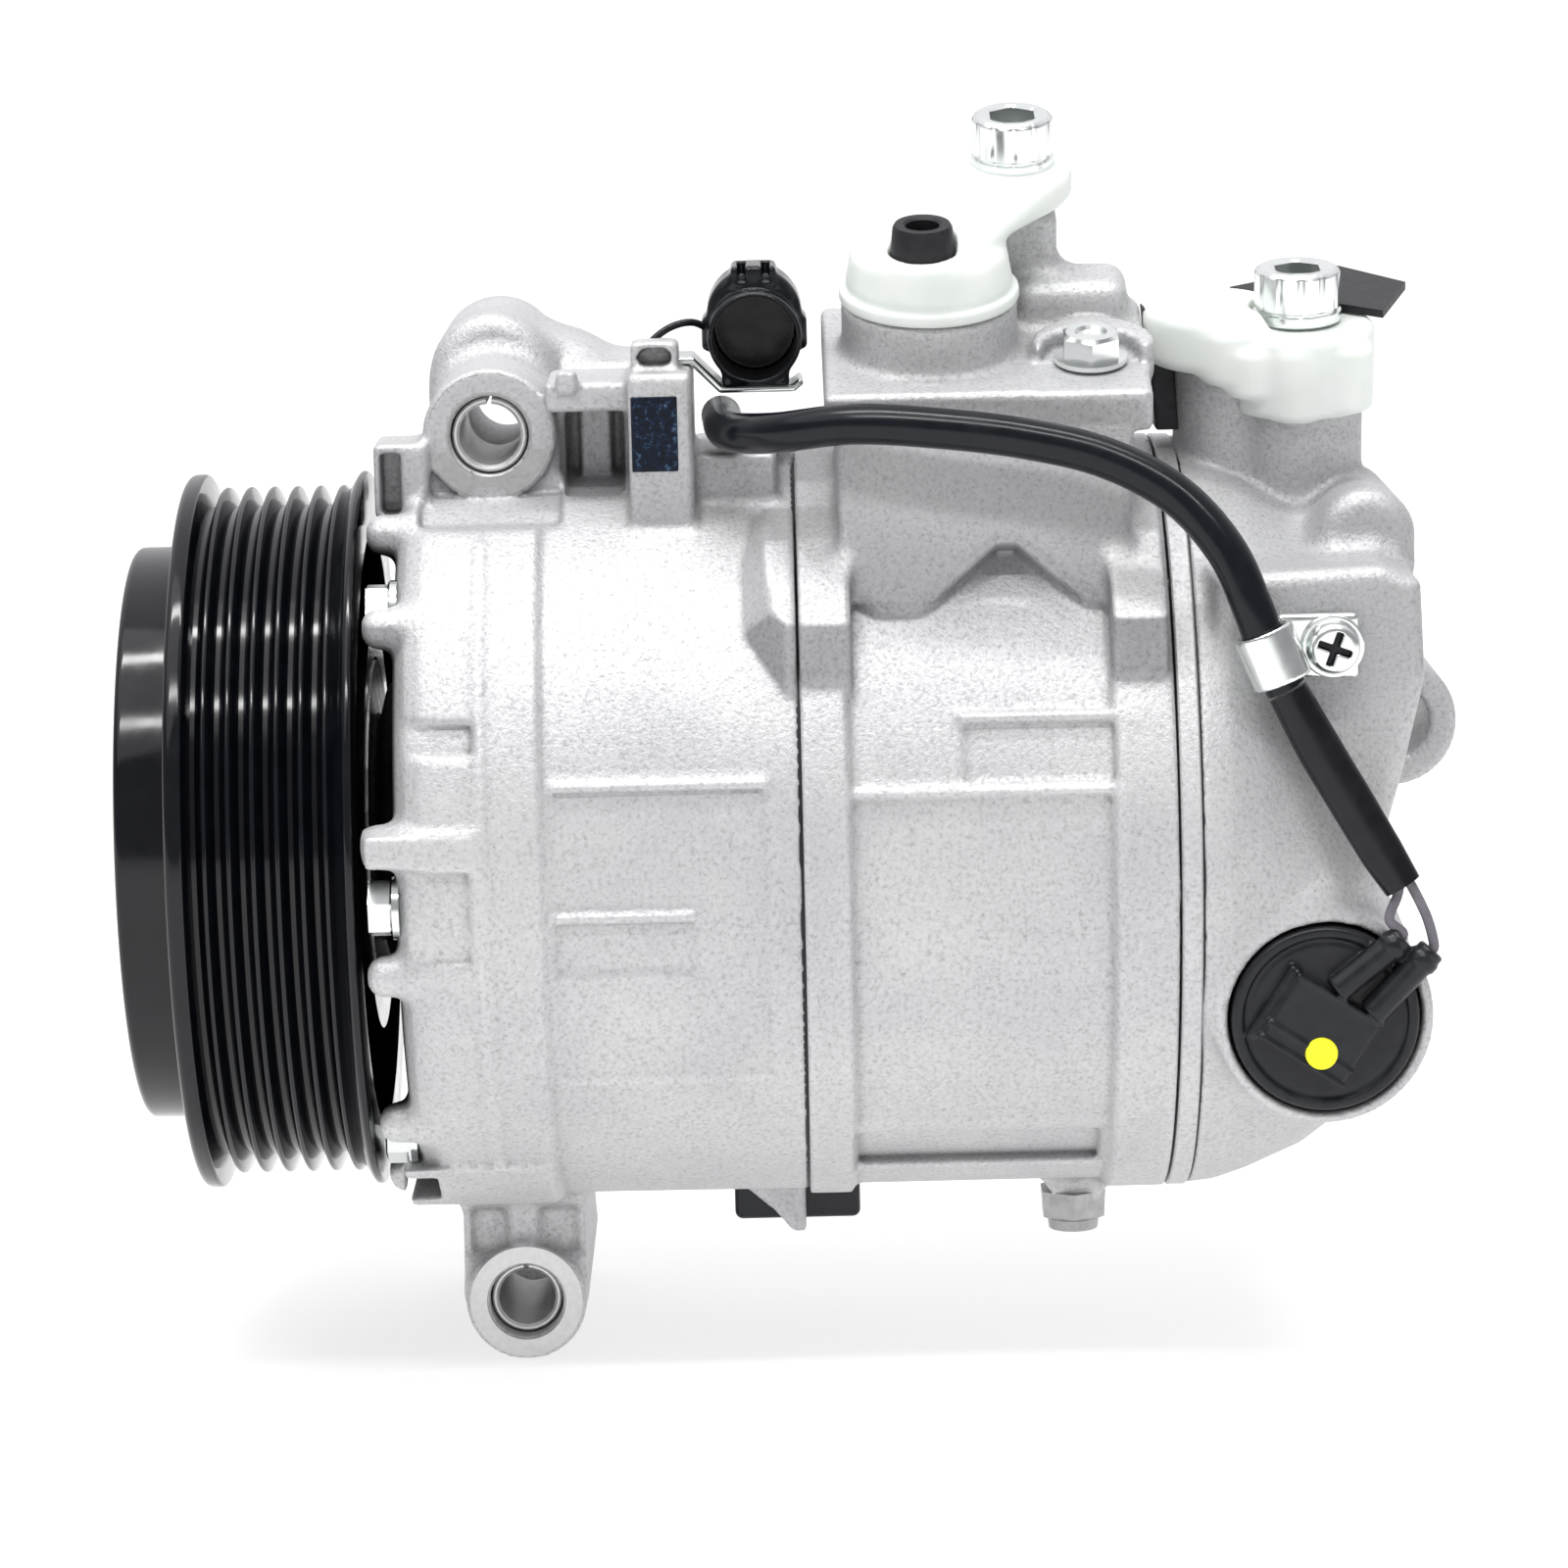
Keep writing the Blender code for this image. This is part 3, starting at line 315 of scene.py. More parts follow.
def grained(
    name, tones, rough, metallic=0.0, specular=0.5, scale=400, detail=2.0, strength=0.1, distance=0.0002
):
    """A surface whose colour and roughness wander between two values with a fine noise, its bump too."""
    made, shader = new_material(name)
    grain = noise(made, scale, detail)
    join(made, ramp(made, grain, [(0.3, tones[0]), (0.7, tones[1])]), shader.inputs["Base Color"])
    join(made, spread(made, grain, 0.3, 0.7, *rough), shader.inputs["Roughness"])
    shader.inputs["Metallic"].default_value = metallic
    shader.inputs["Specular IOR Level"].default_value = specular
    bump(made, shader, grain, strength, distance)
    return made


def plain(name, low, high, rough, scale=400, strength=0.1, metallic=0.0):
    """A grained surface with a low specular level."""
    return grained(name, (low, high), (rough - 0.05, rough + 0.05), metallic, 0.3, scale, strength=strength)


def milky_plastic():
    made = plain("milky_plastic", (0.74, 0.785, 0.745), (0.82, 0.85, 0.82), 0.38, 120, 0.12)
    shader = made.node_tree.nodes["Principled BSDF"]
    shader.inputs["Subsurface Weight"].default_value = 0.35
    shader.inputs["Subsurface Scale"].default_value = 0.004
    shader.inputs["Subsurface Radius"].default_value = (1.0, 1.0, 0.9)
    return made


def blue_patch():
    """The dark blue sealing paint on the shoulder block."""
    made, shader = new_material("blue_patch")
    grain = noise(made, 900, 4.0, 0.7)
    stops = [(0.38, (0.001, 0.002, 0.004)), (0.56, (0.002, 0.008, 0.026)), (0.72, (0.07, 0.13, 0.21))]
    shader.inputs["Specular IOR Level"].default_value = 0.2
    join(made, ramp(made, grain, stops), shader.inputs["Base Color"])
    join(made, spread(made, grain, 0.3, 0.7, 0.25, 0.5), shader.inputs["Roughness"])
    bump(made, shader, grain, 0.4, 0.0002)
    return made


CAST = cast_metal()
MACHINED = grained(
    "machined_metal", (grey(0.60), grey(0.70)), (0.30, 0.40), 0.75, scale=900, strength=0.15, distance=0.0001
)
BLACK_TONES = ((0.002, 0.0025, 0.004), (0.004, 0.0045, 0.007))
BLACK = grained("gloss_black", BLACK_TONES, (0.08, 0.15), 0.0, 0.38, 260, strength=0.05)
ZINC = grained(
    "bright_zinc", ((0.78, 0.81, 0.80), (0.84, 0.86, 0.85)), (0.17, 0.24), 1.0, 0.5, 320, 1.0, 0.08, 0.0001
)
STEEL = grained("ground_steel_look", (grey(0.33), grey(0.45)), (0.25, 0.38), 0.9, 0.5, 500, 3.0, 0.10, 0.0001)
PISTON = plain("piston_alloy_look", grey(0.50), grey(0.60), 0.35, 300, 0.05, 0.9)
RUBBER = plain("rubber_look", (0.010, 0.010, 0.012), (0.020, 0.020, 0.022), 0.50, 500, 0.15)
PLASTIC = plain("black_plastic_look", (0.010, 0.011, 0.013), (0.018, 0.019, 0.022), 0.32, 400, 0.10)
CABLE = plain("cable_sheath", (0.003, 0.004, 0.007), (0.006, 0.007, 0.010), 0.20, 250, 0.05)
VINYL = plain("sleeve_vinyl", (0.004, 0.004, 0.006), (0.009, 0.009, 0.011), 0.22, 250, 0.08)
SHELL = plain("connector_plastic", (0.004, 0.005, 0.007), (0.008, 0.009, 0.011), 0.20, 400, 0.05)
WIRE = plain("wire_sheath", (0.14, 0.13, 0.15), (0.20, 0.19, 0.21), 0.45)
MILKY = milky_plastic()
# Painted shade: a darker copy of the machined metal, for the upper ear's turned face.
SHADED_EAR_FACE = plain("turned_face_shaded", grey(0.33), grey(0.42), 0.35, 900, 0.10, 0.6)
YELLOW = plain("yellow_paint", (0.90, 0.88, 0.02), (0.96, 0.94, 0.04), 0.45)
BLUE = blue_patch()
# Painted shade: a near-black look for pieces that stand in for shade in recesses and gaps.
PAINTED_SHADE = plain("painted_shade_dark", (0.015, 0.015, 0.018), (0.03, 0.03, 0.033), 0.6)

# ---- Solids from distances ----------------------------------------------------------------------
# A shape is (low corner, high corner, function of x, y and z that gives the distance to its surface, negative
# inside). A Casting blends shapes on a grid with rounded corners, as a mould would, and skins the result.


def box_distance(parts):
    """Distance from how far a point lies past each pair of faces."""
    outside = sum(np.maximum(p, 0) ** 2 for p in parts) ** 0.5
    inside = parts[0]
    for p in parts[1:]:
        inside = np.maximum(inside, p)
    return outside + np.minimum(inside, 0)


def brick(low, high, round_r=0.0):
    low, high = np.array(low, float), np.array(high, float)
    middle, half = (low + high) / 2, (high - low) / 2 - round_r

    def distance(x, y, z):
        return box_distance([abs(p - m) - h for p, m, h in zip((x, y, z), middle, half)]) - round_r

    return low, high, distance


def rod(start, end, radius, end_radius=None, round_r=0.0):
    """A cylinder, or a cone, between two points."""
    start, end = np.array(start, float), np.array(end, float)
    length = np.linalg.norm(end - start)
    way = (end - start) / length
    last = radius if end_radius is None else end_radius
    reach = max(radius, last)
    slope = math.cos(math.atan2(last - radius, length))

    def distance(x, y, z):
        dx, dy, dz = x - start[0], y - start[1], z - start[2]
        along = dx * way[0] + dy * way[1] + dz * way[2]
        across = np.sqrt(np.maximum(dx * dx + dy * dy + dz * dz - along * along, 0))
        wide = radius + (last - radius) * np.clip(along / length, 0, 1)
        side = (across - wide) * slope + round_r
        return box_distance([side, abs(along - length / 2) - length / 2 + round_r]) - round_r

    return np.minimum(start, end) - reach, np.maximum(start, end) + reach, distance


def crossbar(x, z, near, far, radius, *end_radius, round_r=0.0):
    """A rod along Y."""
    return rod((x, near, z), (x, far, z), radius, *end_radius, round_r=round_r)


def outline_distance(u, v, points):
    """Distance from points (u, v) to a closed outline, negative inside."""
    nearest = np.full(np.broadcast(u, v).shape, 1e9)
    sign = np.ones_like(nearest)
    for (ax, ay), (bx, by) in zip(points, points[1:] + points[:1]):
        ex, ey = bx - ax, by - ay
        wx, wy = u - ax, v - ay
        t = np.clip((wx * ex + wy * ey) / (ex * ex + ey * ey), 0, 1)
        nearest = np.minimum(nearest, (wx - ex * t) ** 2 + (wy - ey * t) ** 2)
        above, below, left = v >= ay, v < by, ex * wy > ey * wx
        crosses = (above & below & left) | (~above & ~below & ~left)
        sign = np.where(crosses, -sign, sign)
    return sign * np.sqrt(nearest)


def plate(outline, low, high, round_r=0.0):
    """An outline in XZ, extruded along Y from low to high."""
    us, vs = [p[0] for p in outline], [p[1] for p in outline]

    def distance(x, y, z):
        flat = outline_distance(x, z, outline) + round_r
        return box_distance([flat, abs(y - (low + high) / 2) - (high - low) / 2 + round_r]) - round_r

    return np.array([min(us), low, min(vs)]), np.array([max(us), high, max(vs)]), distance


def turned(profile):
    """A profile of (x, radius) points turned about X."""
    xs, rs = [p[0] for p in profile], [p[1] for p in profile]
    reach = max(rs)
    table_r = np.arange(0, reach + 2 * FAR, TABLE_STEP)

    def distance(x, y, z):
        table = outline_distance(x[:, 0, 0][:, None], table_r[None, :], profile)
        radius = np.sqrt(y * y + z * z)[0]
        spot = np.clip(radius / TABLE_STEP, 0, len(table_r) - 1.001)
        cell = spot.astype(int)
        part = spot - cell
        return table[:, cell] * (1 - part) + table[:, cell + 1] * part

    return np.array([min(xs), -reach, -reach]), np.array([max(xs), reach, reach]), distance


def placed(shape, place):
    """The shape moved by a 4x4 frame whose lengths are millimetres."""
    low, high, distance = shape
    turn, shift = np.array(place.to_3x3()), np.array(place.translation)
    corners = np.stack(np.meshgrid(*zip(low, high), indexing="ij"), -1).reshape(-1, 3) @ turn.T + shift

    def moved(x, y, z):
        gaps = (x - shift[0], y - shift[1], z - shift[2])
        return distance(*(sum(turn[row, axis] * gaps[row] for row in range(3)) for axis in range(3)))

    return corners.min(0), corners.max(0), moved


def both(first, second):
    """Where two shapes overlap."""
    low, high = np.maximum(first[0], second[0]), np.minimum(first[1], second[1])
    return low, high, lambda x, y, z: np.maximum(first[2](x, y, z), second[2](x, y, z))


def outside(radius):
    """All that lies farther than this from the shaft's axis."""
    everywhere = np.full(3, 1e3)
    return -everywhere, everywhere, lambda x, y, z: radius - np.sqrt(y * y + z * z)


def band(x_span, r_span, z_span):
    """A curved panel of the barrel's near side."""
    (x0, x1), (r0, r1), (z0, z1) = x_span, r_span, z_span
    low, high = np.array([x0, -r1, z0]), np.array([x1, 0.0, z1])

    def distance(x, y, z):
        radius = np.sqrt(y * y + z * z)
        sides = np.maximum(abs(x - (x0 + x1) / 2) - (x1 - x0) / 2, abs(z - (z0 + z1) / 2) - (z1 - z0) / 2)
        return np.maximum(np.maximum(sides, abs(radius - (r0 + r1) / 2) - (r1 - r0) / 2), y)

    return low, high, distance


class Casting:
    """A solid on a grid of distances. Shapes go in one after another, each with the width of its blend."""

    def __init__(self, low, high, step):
        self.step = step
        self.low = np.array(low, np.float32)
        self.axes = [np.arange(a, b, step, dtype=np.float32) for a, b in zip(low, high)]
        self.values = np.full([len(a) for a in self.axes], FAR, np.float32)

    def window(self, shape, margin):
        picks = []
        for axis, low, high in zip(self.axes, shape[0], shape[1]):
            first, last = np.searchsorted(axis, (low - margin, high + margin))
            picks.append(slice(first, last))
        x, y, z = (axis[pick] for axis, pick in zip(self.axes, picks))
        return tuple(picks), shape[2](x[:, None, None], y[None, :, None], z[None, None, :])

    def add(self, shape, blend=2.0):
        picks, new = self.window(shape, blend + FAR / 2)
        old = self.values[picks]
        near = np.maximum(blend - abs(old - new), 0) / blend
        self.values[picks] = np.minimum(old, new) - near * near * blend / 4

    def cut(self, shape, blend=1.0):
        picks, new = self.window(shape, blend + 0.5)
        old, new = self.values[picks], -new
        near = np.maximum(blend - abs(old - new), 0) / blend
        self.values[picks] = np.maximum(old, new) + near * near * blend / 4

    def skin(self, name, stuff):
        grid = openvdb.FloatGrid(FAR)
        grid.copyFromArray(np.clip(self.values, -FAR, FAR))
        points, triangles, quads = grid.convertToPolygons(0.0, 0.0)
        mesh = mesh_of(name, (points * self.step + self.low) * MM, triangles, quads)
        return piece_of(name, mesh, stuff)


def mesh_of(name, points, triangles, quads):
    mesh = bpy.data.meshes.new(name)
    mesh.vertices.add(len(points))
    mesh.vertices.foreach_set("co", np.asarray(points, np.float32).ravel())
    corners = np.concatenate([triangles.ravel(), quads.ravel()]).astype(np.int32)
    sizes = np.concatenate([np.full(len(triangles), 3), np.full(len(quads), 4)])
    mesh.loops.add(len(corners))
    mesh.loops.foreach_set("vertex_index", corners)
    mesh.polygons.add(len(sizes))
    mesh.polygons.foreach_set("loop_start", (np.cumsum(sizes) - sizes).astype(np.int32))
    mesh.update(calc_edges=True)
    mesh.validate()
    mesh.shade_smooth()
    return mesh


def piece_of(name, mesh, stuff):
    made = bpy.data.objects.new(name, mesh)
    scene.collection.objects.link(made)
    mesh.materials.append(stuff)
    return made


# ---- Plain mesh helpers -------------------------------------------------------------------------


def hexagon(apothem, angle):
    return apothem / math.cos((angle + math.pi / 6) % (math.pi / 3) - math.pi / 6)


def lathe(name, profile, stuff, sides=96, place=None, sharp=40, slit_deg=0.0):
    """A profile of (x, radius) points turned about X. A third value shapes that row: "hex" makes the radius a
    hexagon's apothem, and "knurl" notches it."""
    shape = bmesh.new()
    span = 2 * math.pi - math.radians(slit_deg)
    count = sides + 1 if slit_deg else sides
    angles = [math.radians(slit_deg) / 2 + span * i / sides for i in range(count)]
    rows = []
    for x, r, *kind in profile:
        if r < 1e-6:
            rows.append([shape.verts.new(Vector((x, 0, 0)) * MM)] * count)
            continue
        row = []
        for i, angle in enumerate(angles):
            radius = hexagon(r, angle) if kind == ["hex"] else r
            if kind == ["knurl"] and i % 6 == 0:
                radius = r - 0.22
            row.append(shape.verts.new(Vector((x, radius * math.sin(angle), radius * math.cos(angle))) * MM))
        rows.append(row)
    hollow = profile[0][1] > 1e-6 or profile[-1][1] > 1e-6
    for a, b in zip(rows, rows[1:] + rows[:1] if hollow else rows[1:]):
        for i in range(count - 1 if slit_deg else count):
            j = (i + 1) % count
            corners = list(dict.fromkeys([a[i], a[j], b[j], b[i]]))
            if len(corners) > 2:
                shape.faces.new(corners)
    if slit_deg:
        shape.faces.new([row[0] for row in rows])
        shape.faces.new([row[-1] for row in rows])
    bmesh.ops.recalc_face_normals(shape, faces=shape.faces)
    return finish_mesh(name, shape, stuff, place, sharp)


def finish_mesh(name, shape, stuff, place=None, sharp=40):
    mesh = bpy.data.meshes.new(name)
    shape.to_mesh(mesh)
    shape.free()
    if place is not None:
        metres = place.copy()
        metres.translation = place.translation * MM
        mesh.transform(metres)
    mesh.shade_smooth()
    mesh.set_sharp_from_angle(angle=math.radians(sharp))
    return piece_of(name, mesh, stuff)


def stand_in(piece, body, *nodes):
    """The piece rides on a body and stands for CAD nodes."""
    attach(piece, body)
    if nodes:
        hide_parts(*nodes)
    return piece


def around(radius, degrees):
    """(y, z) at this radius, the angle measured from -Y towards +Z."""
    angle = math.radians(degrees)
    return -radius * math.cos(angle), radius * math.sin(angle)


def bolt_angle(index):
    return FIRST_BOLT_DEG + index * STEP_DEG


def spin(degrees, axis):
    return Matrix.Rotation(math.radians(degrees), 4, axis)


def port_frame(x, lean_deg):
    """Origin on the shaft's axis, Z up the leaning port, Y across it towards the engine."""
    return Matrix.Translation((x, 0, 0)) @ spin(lean_deg, "X")


def post(port, x, y, low, high, radius, *end_radius, round_r=0.0):
    """A rod that stands up a port, at this point of it."""
    return placed(rod((x, y, low), (x, y, high), radius, *end_radius, round_r=round_r), port)


SUCTION = port_frame(121.7, 16)
DISCHARGE = port_frame(177.0, 10)


def joint_boss(start, end, pointed=False):
    """A corner block on the castings' near shoulder: its lower face stands upright and its upper face slopes
    back. Its front end may be chamfered down to a point on the barrel."""
    section = [(50.6, 25.0), (51.6, 37.6), (38.6, 48.2), (29.0, 51.8), (22.0, 46.0), (40.0, 25.0)]
    shape = placed(plate(section, start, end, 0.5), spin(-90, "Z"))
    if not pointed:
        return shape

    def chamfer(x, y, z):
        rise = np.sqrt(y * y + z * z) - 56.5
        above = (np.arctan2(z, -y) - math.radians(50)) * 57.0
        edge = start + 0.18 * np.maximum(above, 0) + 0.63 * np.maximum(-11.8 - above, 0)
        return (edge + 0.75 * rise - x) / 1.3

    return both(shape, (shape[0], shape[1], chamfer))


# ---- Front housing ------------------------------------------------------------------------------


def make_front():
    body = Casting((11.0, -62.5, -84.5), (FRONT_END + 1.5, 60.5, 82.0), CASTING_STEP)
    profile = [
        (13.0, 14.0), (13.0, 17.3), (36.8, 17.3), (38.0, 22.0), (41.7, 24.0), (41.7, 51.5), (42.3, 54.0),
        (43.8, 56.2), (46.2, 57.6), (48.5, FLANGE_R), (62.8, FLANGE_R), (63.8, BARREL_R), (FRONT_END, 57.2),
        (FRONT_END, 14.0),
    ]
    body.add(turned(profile), 1.0)
    for index in range(CYLINDERS):
        for offset in (-10.4, 10.4):
            lift = 4.6 if index == 0 else 0.0
            y, z = around(54.2, bolt_angle(index) + offset + lift)
            body.add(rod((37.4, y, z), (48.0, y, z), 3.0, round_r=2.4), 2.4)
    # The near side's terraces, and the pocket behind the front edge.
    body.cut(band((65.0, 95.8), (56.75, 62), (-29.6, 14.4)), 0.9)
    body.add(band((64.8, 96.0), (54.0, 57.75), (14.6, 15.8)), 1.0)
    body.cut(band((65.4, 85.0), (56.4, 62), (-12.0, -4.8)), 1.4)
    body.add(band((64.9, 85.6), (54.0, 57.6), (-4.6, -3.4)), 1.0)
    body.cut(band((43.4, 53.8), (56.7, 62), (20.2, 23.8)), 1.6)
    body.cut(band((45.0, 52.6), (57.1, 62), (-10.2, 3.4)), 1.2)
    body.add(band((37.9, 53.2), (52.0, 58.5), (4.2, 8.8)), 2.0)
    body.add(band((54.2, 55.0), (56.0, 58.3), (-46.0, 48.0)), 1.2)
    body.add(band((64.6, 98.4), (54.0, 57.25), (-30.4, -29.8)), 0.8)
    body.add(band((40.4, 62.6), (52.0, 58.9), (-55.0, -45.6)), 1.6)
    body.cut(band((40.0, 45.2), (50.0, 62), (-52.6, -47.6)), 0.8)
    # Joint boss.
    body.add(joint_boss(92.6, FRONT_END, pointed=True), 0.5)
    # Upper ear: ring, arm with a rib, and the long lobe behind.
    x, z = TOP_EAR
    body.add(brick((45.6, -16.2, 38.0), (66.2, 38.0, 62.0), 1.2), 2.0)
    body.add(crossbar(x, z, -17.9, 44.0, 9.9), 1.0)
    body.add(crossbar(55.2, 69.0, 5.0, 40.5, 9.4, round_r=3.0), 4.0)
    body.add(crossbar(66.0, 66.0, 12.0, 36.0, 7.5, round_r=3.0), 5.0)
    body.add(brick((66.0, 8.0, 40.0), (84.0, 34.0, 70.5), 3.0), 3.0)
    shelf = brick((45.4, -44.0, 49.6), (66.6, -16.4, 60.0), 0.6)
    body.cut(both(shelf, outside(CHAMBER_R + SHELF_WALL)), 0.6)
    body.add(crossbar(x, z, -17.9, -14.0, 9.9), 0.4)
    body.add(brick((53.6, -17.6, 47.0), (57.6, -10.0, 54.0), 0.5), 1.2)
    # Shoulder behind the slot, the slot's bar and the block beside it.
    body.add(brick((64.0, -13.0, 38.0), (79.0, 10.0, 66.2), 0.6), 1.4)
    slot = brick((66.9, -20.0, 50.4), (75.9, -5.0, 65.7), 1.8)
    body.cut(both(slot, outside(CHAMBER_R + SLOT_WALL)), 0.5)
    body.add(brick((69.0, -9.6, 50.0), (73.8, -4.0, 66.0), 0.5), 0.5)
    body.add(brick((64.5, -23.6, 66.0), (77.5, -2.0, 70.4), 0.8), 0.8)
    body.add(brick((66.2, -24.6, 68.6), (69.4, -21.8, 72.2), 0.6), 0.6)
    body.add(brick((76.9, -29.8, 40.0), (86.4, -4.0, 72.0), 0.9), 1.4)
    body.add(brick((77.4, -26.2, 70.0), (84.5, -18.4, 76.4), 0.9), 0.6)
    for slot_end in (79.6, 82.2):
        body.cut(crossbar(slot_end, 74.1, -28.0, -22.0, 1.3), 0.3)
    body.cut(brick((79.6, -28.0, 72.8), (82.2, -22.0, 75.4)), 0.3)
    body.add(brick((86.0, -23.8, 40.0), (98.6, 6.0, 59.4), 0.8), 1.4)
    body.add(brick((38.4, -19.6, 50.0), (46.5, -6.2, 61.4), 0.8), 1.6)
    body.cut(brick((39.4, -22.0, 50.8), (42.4, -14.0, 60.0), 0.4), 0.5)
    body.add(brick((90.0, -10.0, 50.0), (100.6, 22.0, 59.0), 2.0), 3.0)
    # Lower ear.
    x, z = LOW_EAR
    body.add(brick((47.3, -10.4, -74.0), (66.3, 38.0, -44.0), 1.6), 3.0)
    body.add(crossbar(x, z, -11.9, 44.0, 9.3), 1.2)
    for start, end in ((48.6, 54.2), (59.2, 65.4)):
        body.cut(brick((start, -12.5, -66.0), (end, -8.4, -58.6), 1.2), 1.8)
    # Fin at the joint's foot.
    fin = [(89.0, -56.0), (100.5, -56.0), (100.5, -65.0), (98.4, -65.0), (95.6, -61.6)]
    body.add(plate(fin, -4.0, 2.0, 0.4), 1.2)
    # The swash plate's chamber, and the ears' bores.
    body.cut(rod((CHAMBER_X[0], 0, 0), (FRONT_END + 8, 0, 0), CHAMBER_R), 0.3)
    for (x, z), near, step, wide in ((TOP_EAR, -20.0, 12.0, 5.9), (LOW_EAR, -14.0, 18.0, 5.7)):
        body.cut(crossbar(x, z, near, step, wide), 0.3)
        body.cut(crossbar(x, z, step - 2.0, 46.0, 5.0), 0.3)
    stand_in(body.skin("front_casting", CAST), "housing", "front_housing")


# ---- Cylinder block -----------------------------------------------------------------------------

NECK = [
    (107.4, 64.0), (107.4, 44.0), (109.6, 39.2), (113.0, 37.4), (118.6, 37.4), (121.6, 39.2), (130.4, 46.8),
    (133.4, 46.8), (138.6, 42.0), (143.4, 38.4), (147.0, 38.0), (149.6, 40.6), (150.4, 64.0),
]


def make_block():
    start, end = BLOCK_START, BLOCK_END
    body = Casting((start - 1.2, -62.5, -66.0), (end + 1.5, 60.5, 108.0), CASTING_STEP)
    profile = [
        (start, 0.0), (start, FLANGE_R), (107.6, FLANGE_R), (108.4, 56.6), (145.8, 56.6), (146.8, FLANGE_R),
        (end, FLANGE_R), (end, 0.0),
    ]
    body.add(turned(profile), 0.6)
    body.cut(band((125.0, 146.4), (56.1, 62), (14.4, 22.0)), 1.4)
    body.cut(band((108.8, 145.6), (56.2, 62), (-38.6, 12.0)), 0.9)
    body.add(band((108.4, 146.4), (54.0, 57.2), (12.7, 13.9)), 1.0)
    body.cut(band((108.4, 144.6), (54.4, 62), (-48.0, -41.6)), 2.0)
    body.add(band((124.0, 150.4), (54.0, 57.6), (22.9, 24.1)), 1.0)
    body.add(joint_boss(start, 108.8), 0.5)
    body.add(joint_boss(146.6, 154.6), 0.5)
    # Suction neck: a wall with two legs, under the port plate; its grey is the cast material's painted shade.
    foot = 52.0
    lean = Matrix.Translation((0, -39.6, foot)) @ spin(-12, "X")
    lean = lean @ Matrix.Translation((0, 0, -foot))
    body.add(placed(plate(NECK, -1.2, 34.0, 1.0), lean), 2.2)
    body.add(placed(brick((-13.0, -18.6, 40.0), (28.6, 18.0, 72.0), 1.0), SUCTION), 2.0)
    body.add(placed(brick((-15.9, -19.0, 70.6), (32.0, 18.0, 77.2), 1.0), SUCTION), 0.8)
    body.add(post(SUCTION, 0, 0, 60.0, 84.9, 13.0), 2.6)
    body.add(placed(brick((8.5, 11.5, 60.0), (19.6, 24.6, 93.8), 2.0), SUCTION), 3.0)
    body.add(placed(brick((13.0, 6.0, 74.0), (30.0, 18.0, 84.0), 3.0), SUCTION), 4.0)
    body.add(post(SUCTION, 24.0, -4.0, 74.0, 79.8, 9.0, round_r=0.8), 1.6)
    body.cut(post(SUCTION, 23.5, -7.0, 77.2, 92.0, 7.2), 0.8)
    body.cut(placed(brick((15.0, -22.0, 77.3), (40.0, -7.6, 92.0)), SUCTION), 1.0)
    body.add(plate([(136.8, -56.0), (147.6, -56.0), (146.0, -60.0), (139.4, -60.0)], -9.0, 0.0, 0.5), 1.0)
    body.cut(post(SUCTION, 0, 0, 75.0, 90.0, 8.6), 0.3)
    body.cut(rod((start - 8, 0, 0), (CHAMBER_X[1], 0, 0), CHAMBER_R), 0.3)
    stand_in(body.skin("block_casting", CAST), "housing", "cylinder_block")


# ---- Rear housing -------------------------------------------------------------------------------


def make_rear():
    start = REAR_START
    body = Casting((start - 1.2, -62.5, -62.0), (207.0, 61.0, 75.0), CASTING_STEP)
    profile = [
        (start, 0.0), (start, 57.6), (163.0, 57.2), (168.0, 55.6), (176.5, 52.0), (183.5, 47.0),
        (186.5, 41.0), (187.5, 30.0), (187.5, 0.0),
    ]
    body.add(turned(profile), 0.6)
    shoulder = [
        (161.5, 1.0), (185.4, 1.0), (189.0, 13.5), (192.2, 27.0), (191.6, 41.0), (186.0, 43.6), (161.5, 42.6),
    ]
    body.add(plate(shoulder, -48.0, 18.0, 2.4), 3.4)
    crown = [(163.0, 20.0), (191.0, 26.0), (190.8, 44.0), (187.0, 47.6), (180.0, 48.0), (163.0, 46.6)]
    body.add(plate(crown, -21.0, 16.0, 2.6), 3.0)
    body.add(crossbar(185.4, 45.6, -32.5, 6.0, 7.3, round_r=3.2), 4.5)
    x, z = VALVE
    body.add(rod((170.0, 8.0, -16.0), (x, -26.0, z), 8.0, 15.9, 3.0), 5.0)
    body.add(crossbar(x, z, -20.0, -55.0, 15.9, round_r=1.2), 4.0)
    body.add(rod((178.5, -48.0, -8.0), (168.0, -40.0, 4.0), 8.0, round_r=3.0), 6.0)
    body.add(post(DISCHARGE, 0, 0, 46.0, 70.5, 9.9), 2.4)
    body.add(post(DISCHARGE, -9.8, 2.0, 46.0, 70.5, 8.6), 1.8)
    body.add(placed(brick((-16.6, 0.0, 44.0), (-6.0, 14.0, 66.0), 1.5), DISCHARGE), 2.0)
    ear_x, ear_z = REAR_EAR
    body.add(crossbar(ear_x, ear_z, 21.9, 44.0, 10.3), 1.2)
    body.add(brick((168.0, 24.5, 0.0), (195.0, 42.0, 18.4), 2.0), 3.0)
    body.cut(crossbar(x, z, -47.6, -58.0, 14.2), 0.3)
    body.cut(crossbar(ear_x, ear_z, 20.0, 46.0, 6.0), 0.3)
    stand_in(body.skin("rear_casting", CAST), "housing", "rear_housing")


# ---- Pulley and hub -----------------------------------------------------------------------------

RIB_PITCH = 3.56
FIRST_RIDGE_X = 14.2
RIDGES = 6
RIDGE_R = 52.9
GROOVE_R = 50.0


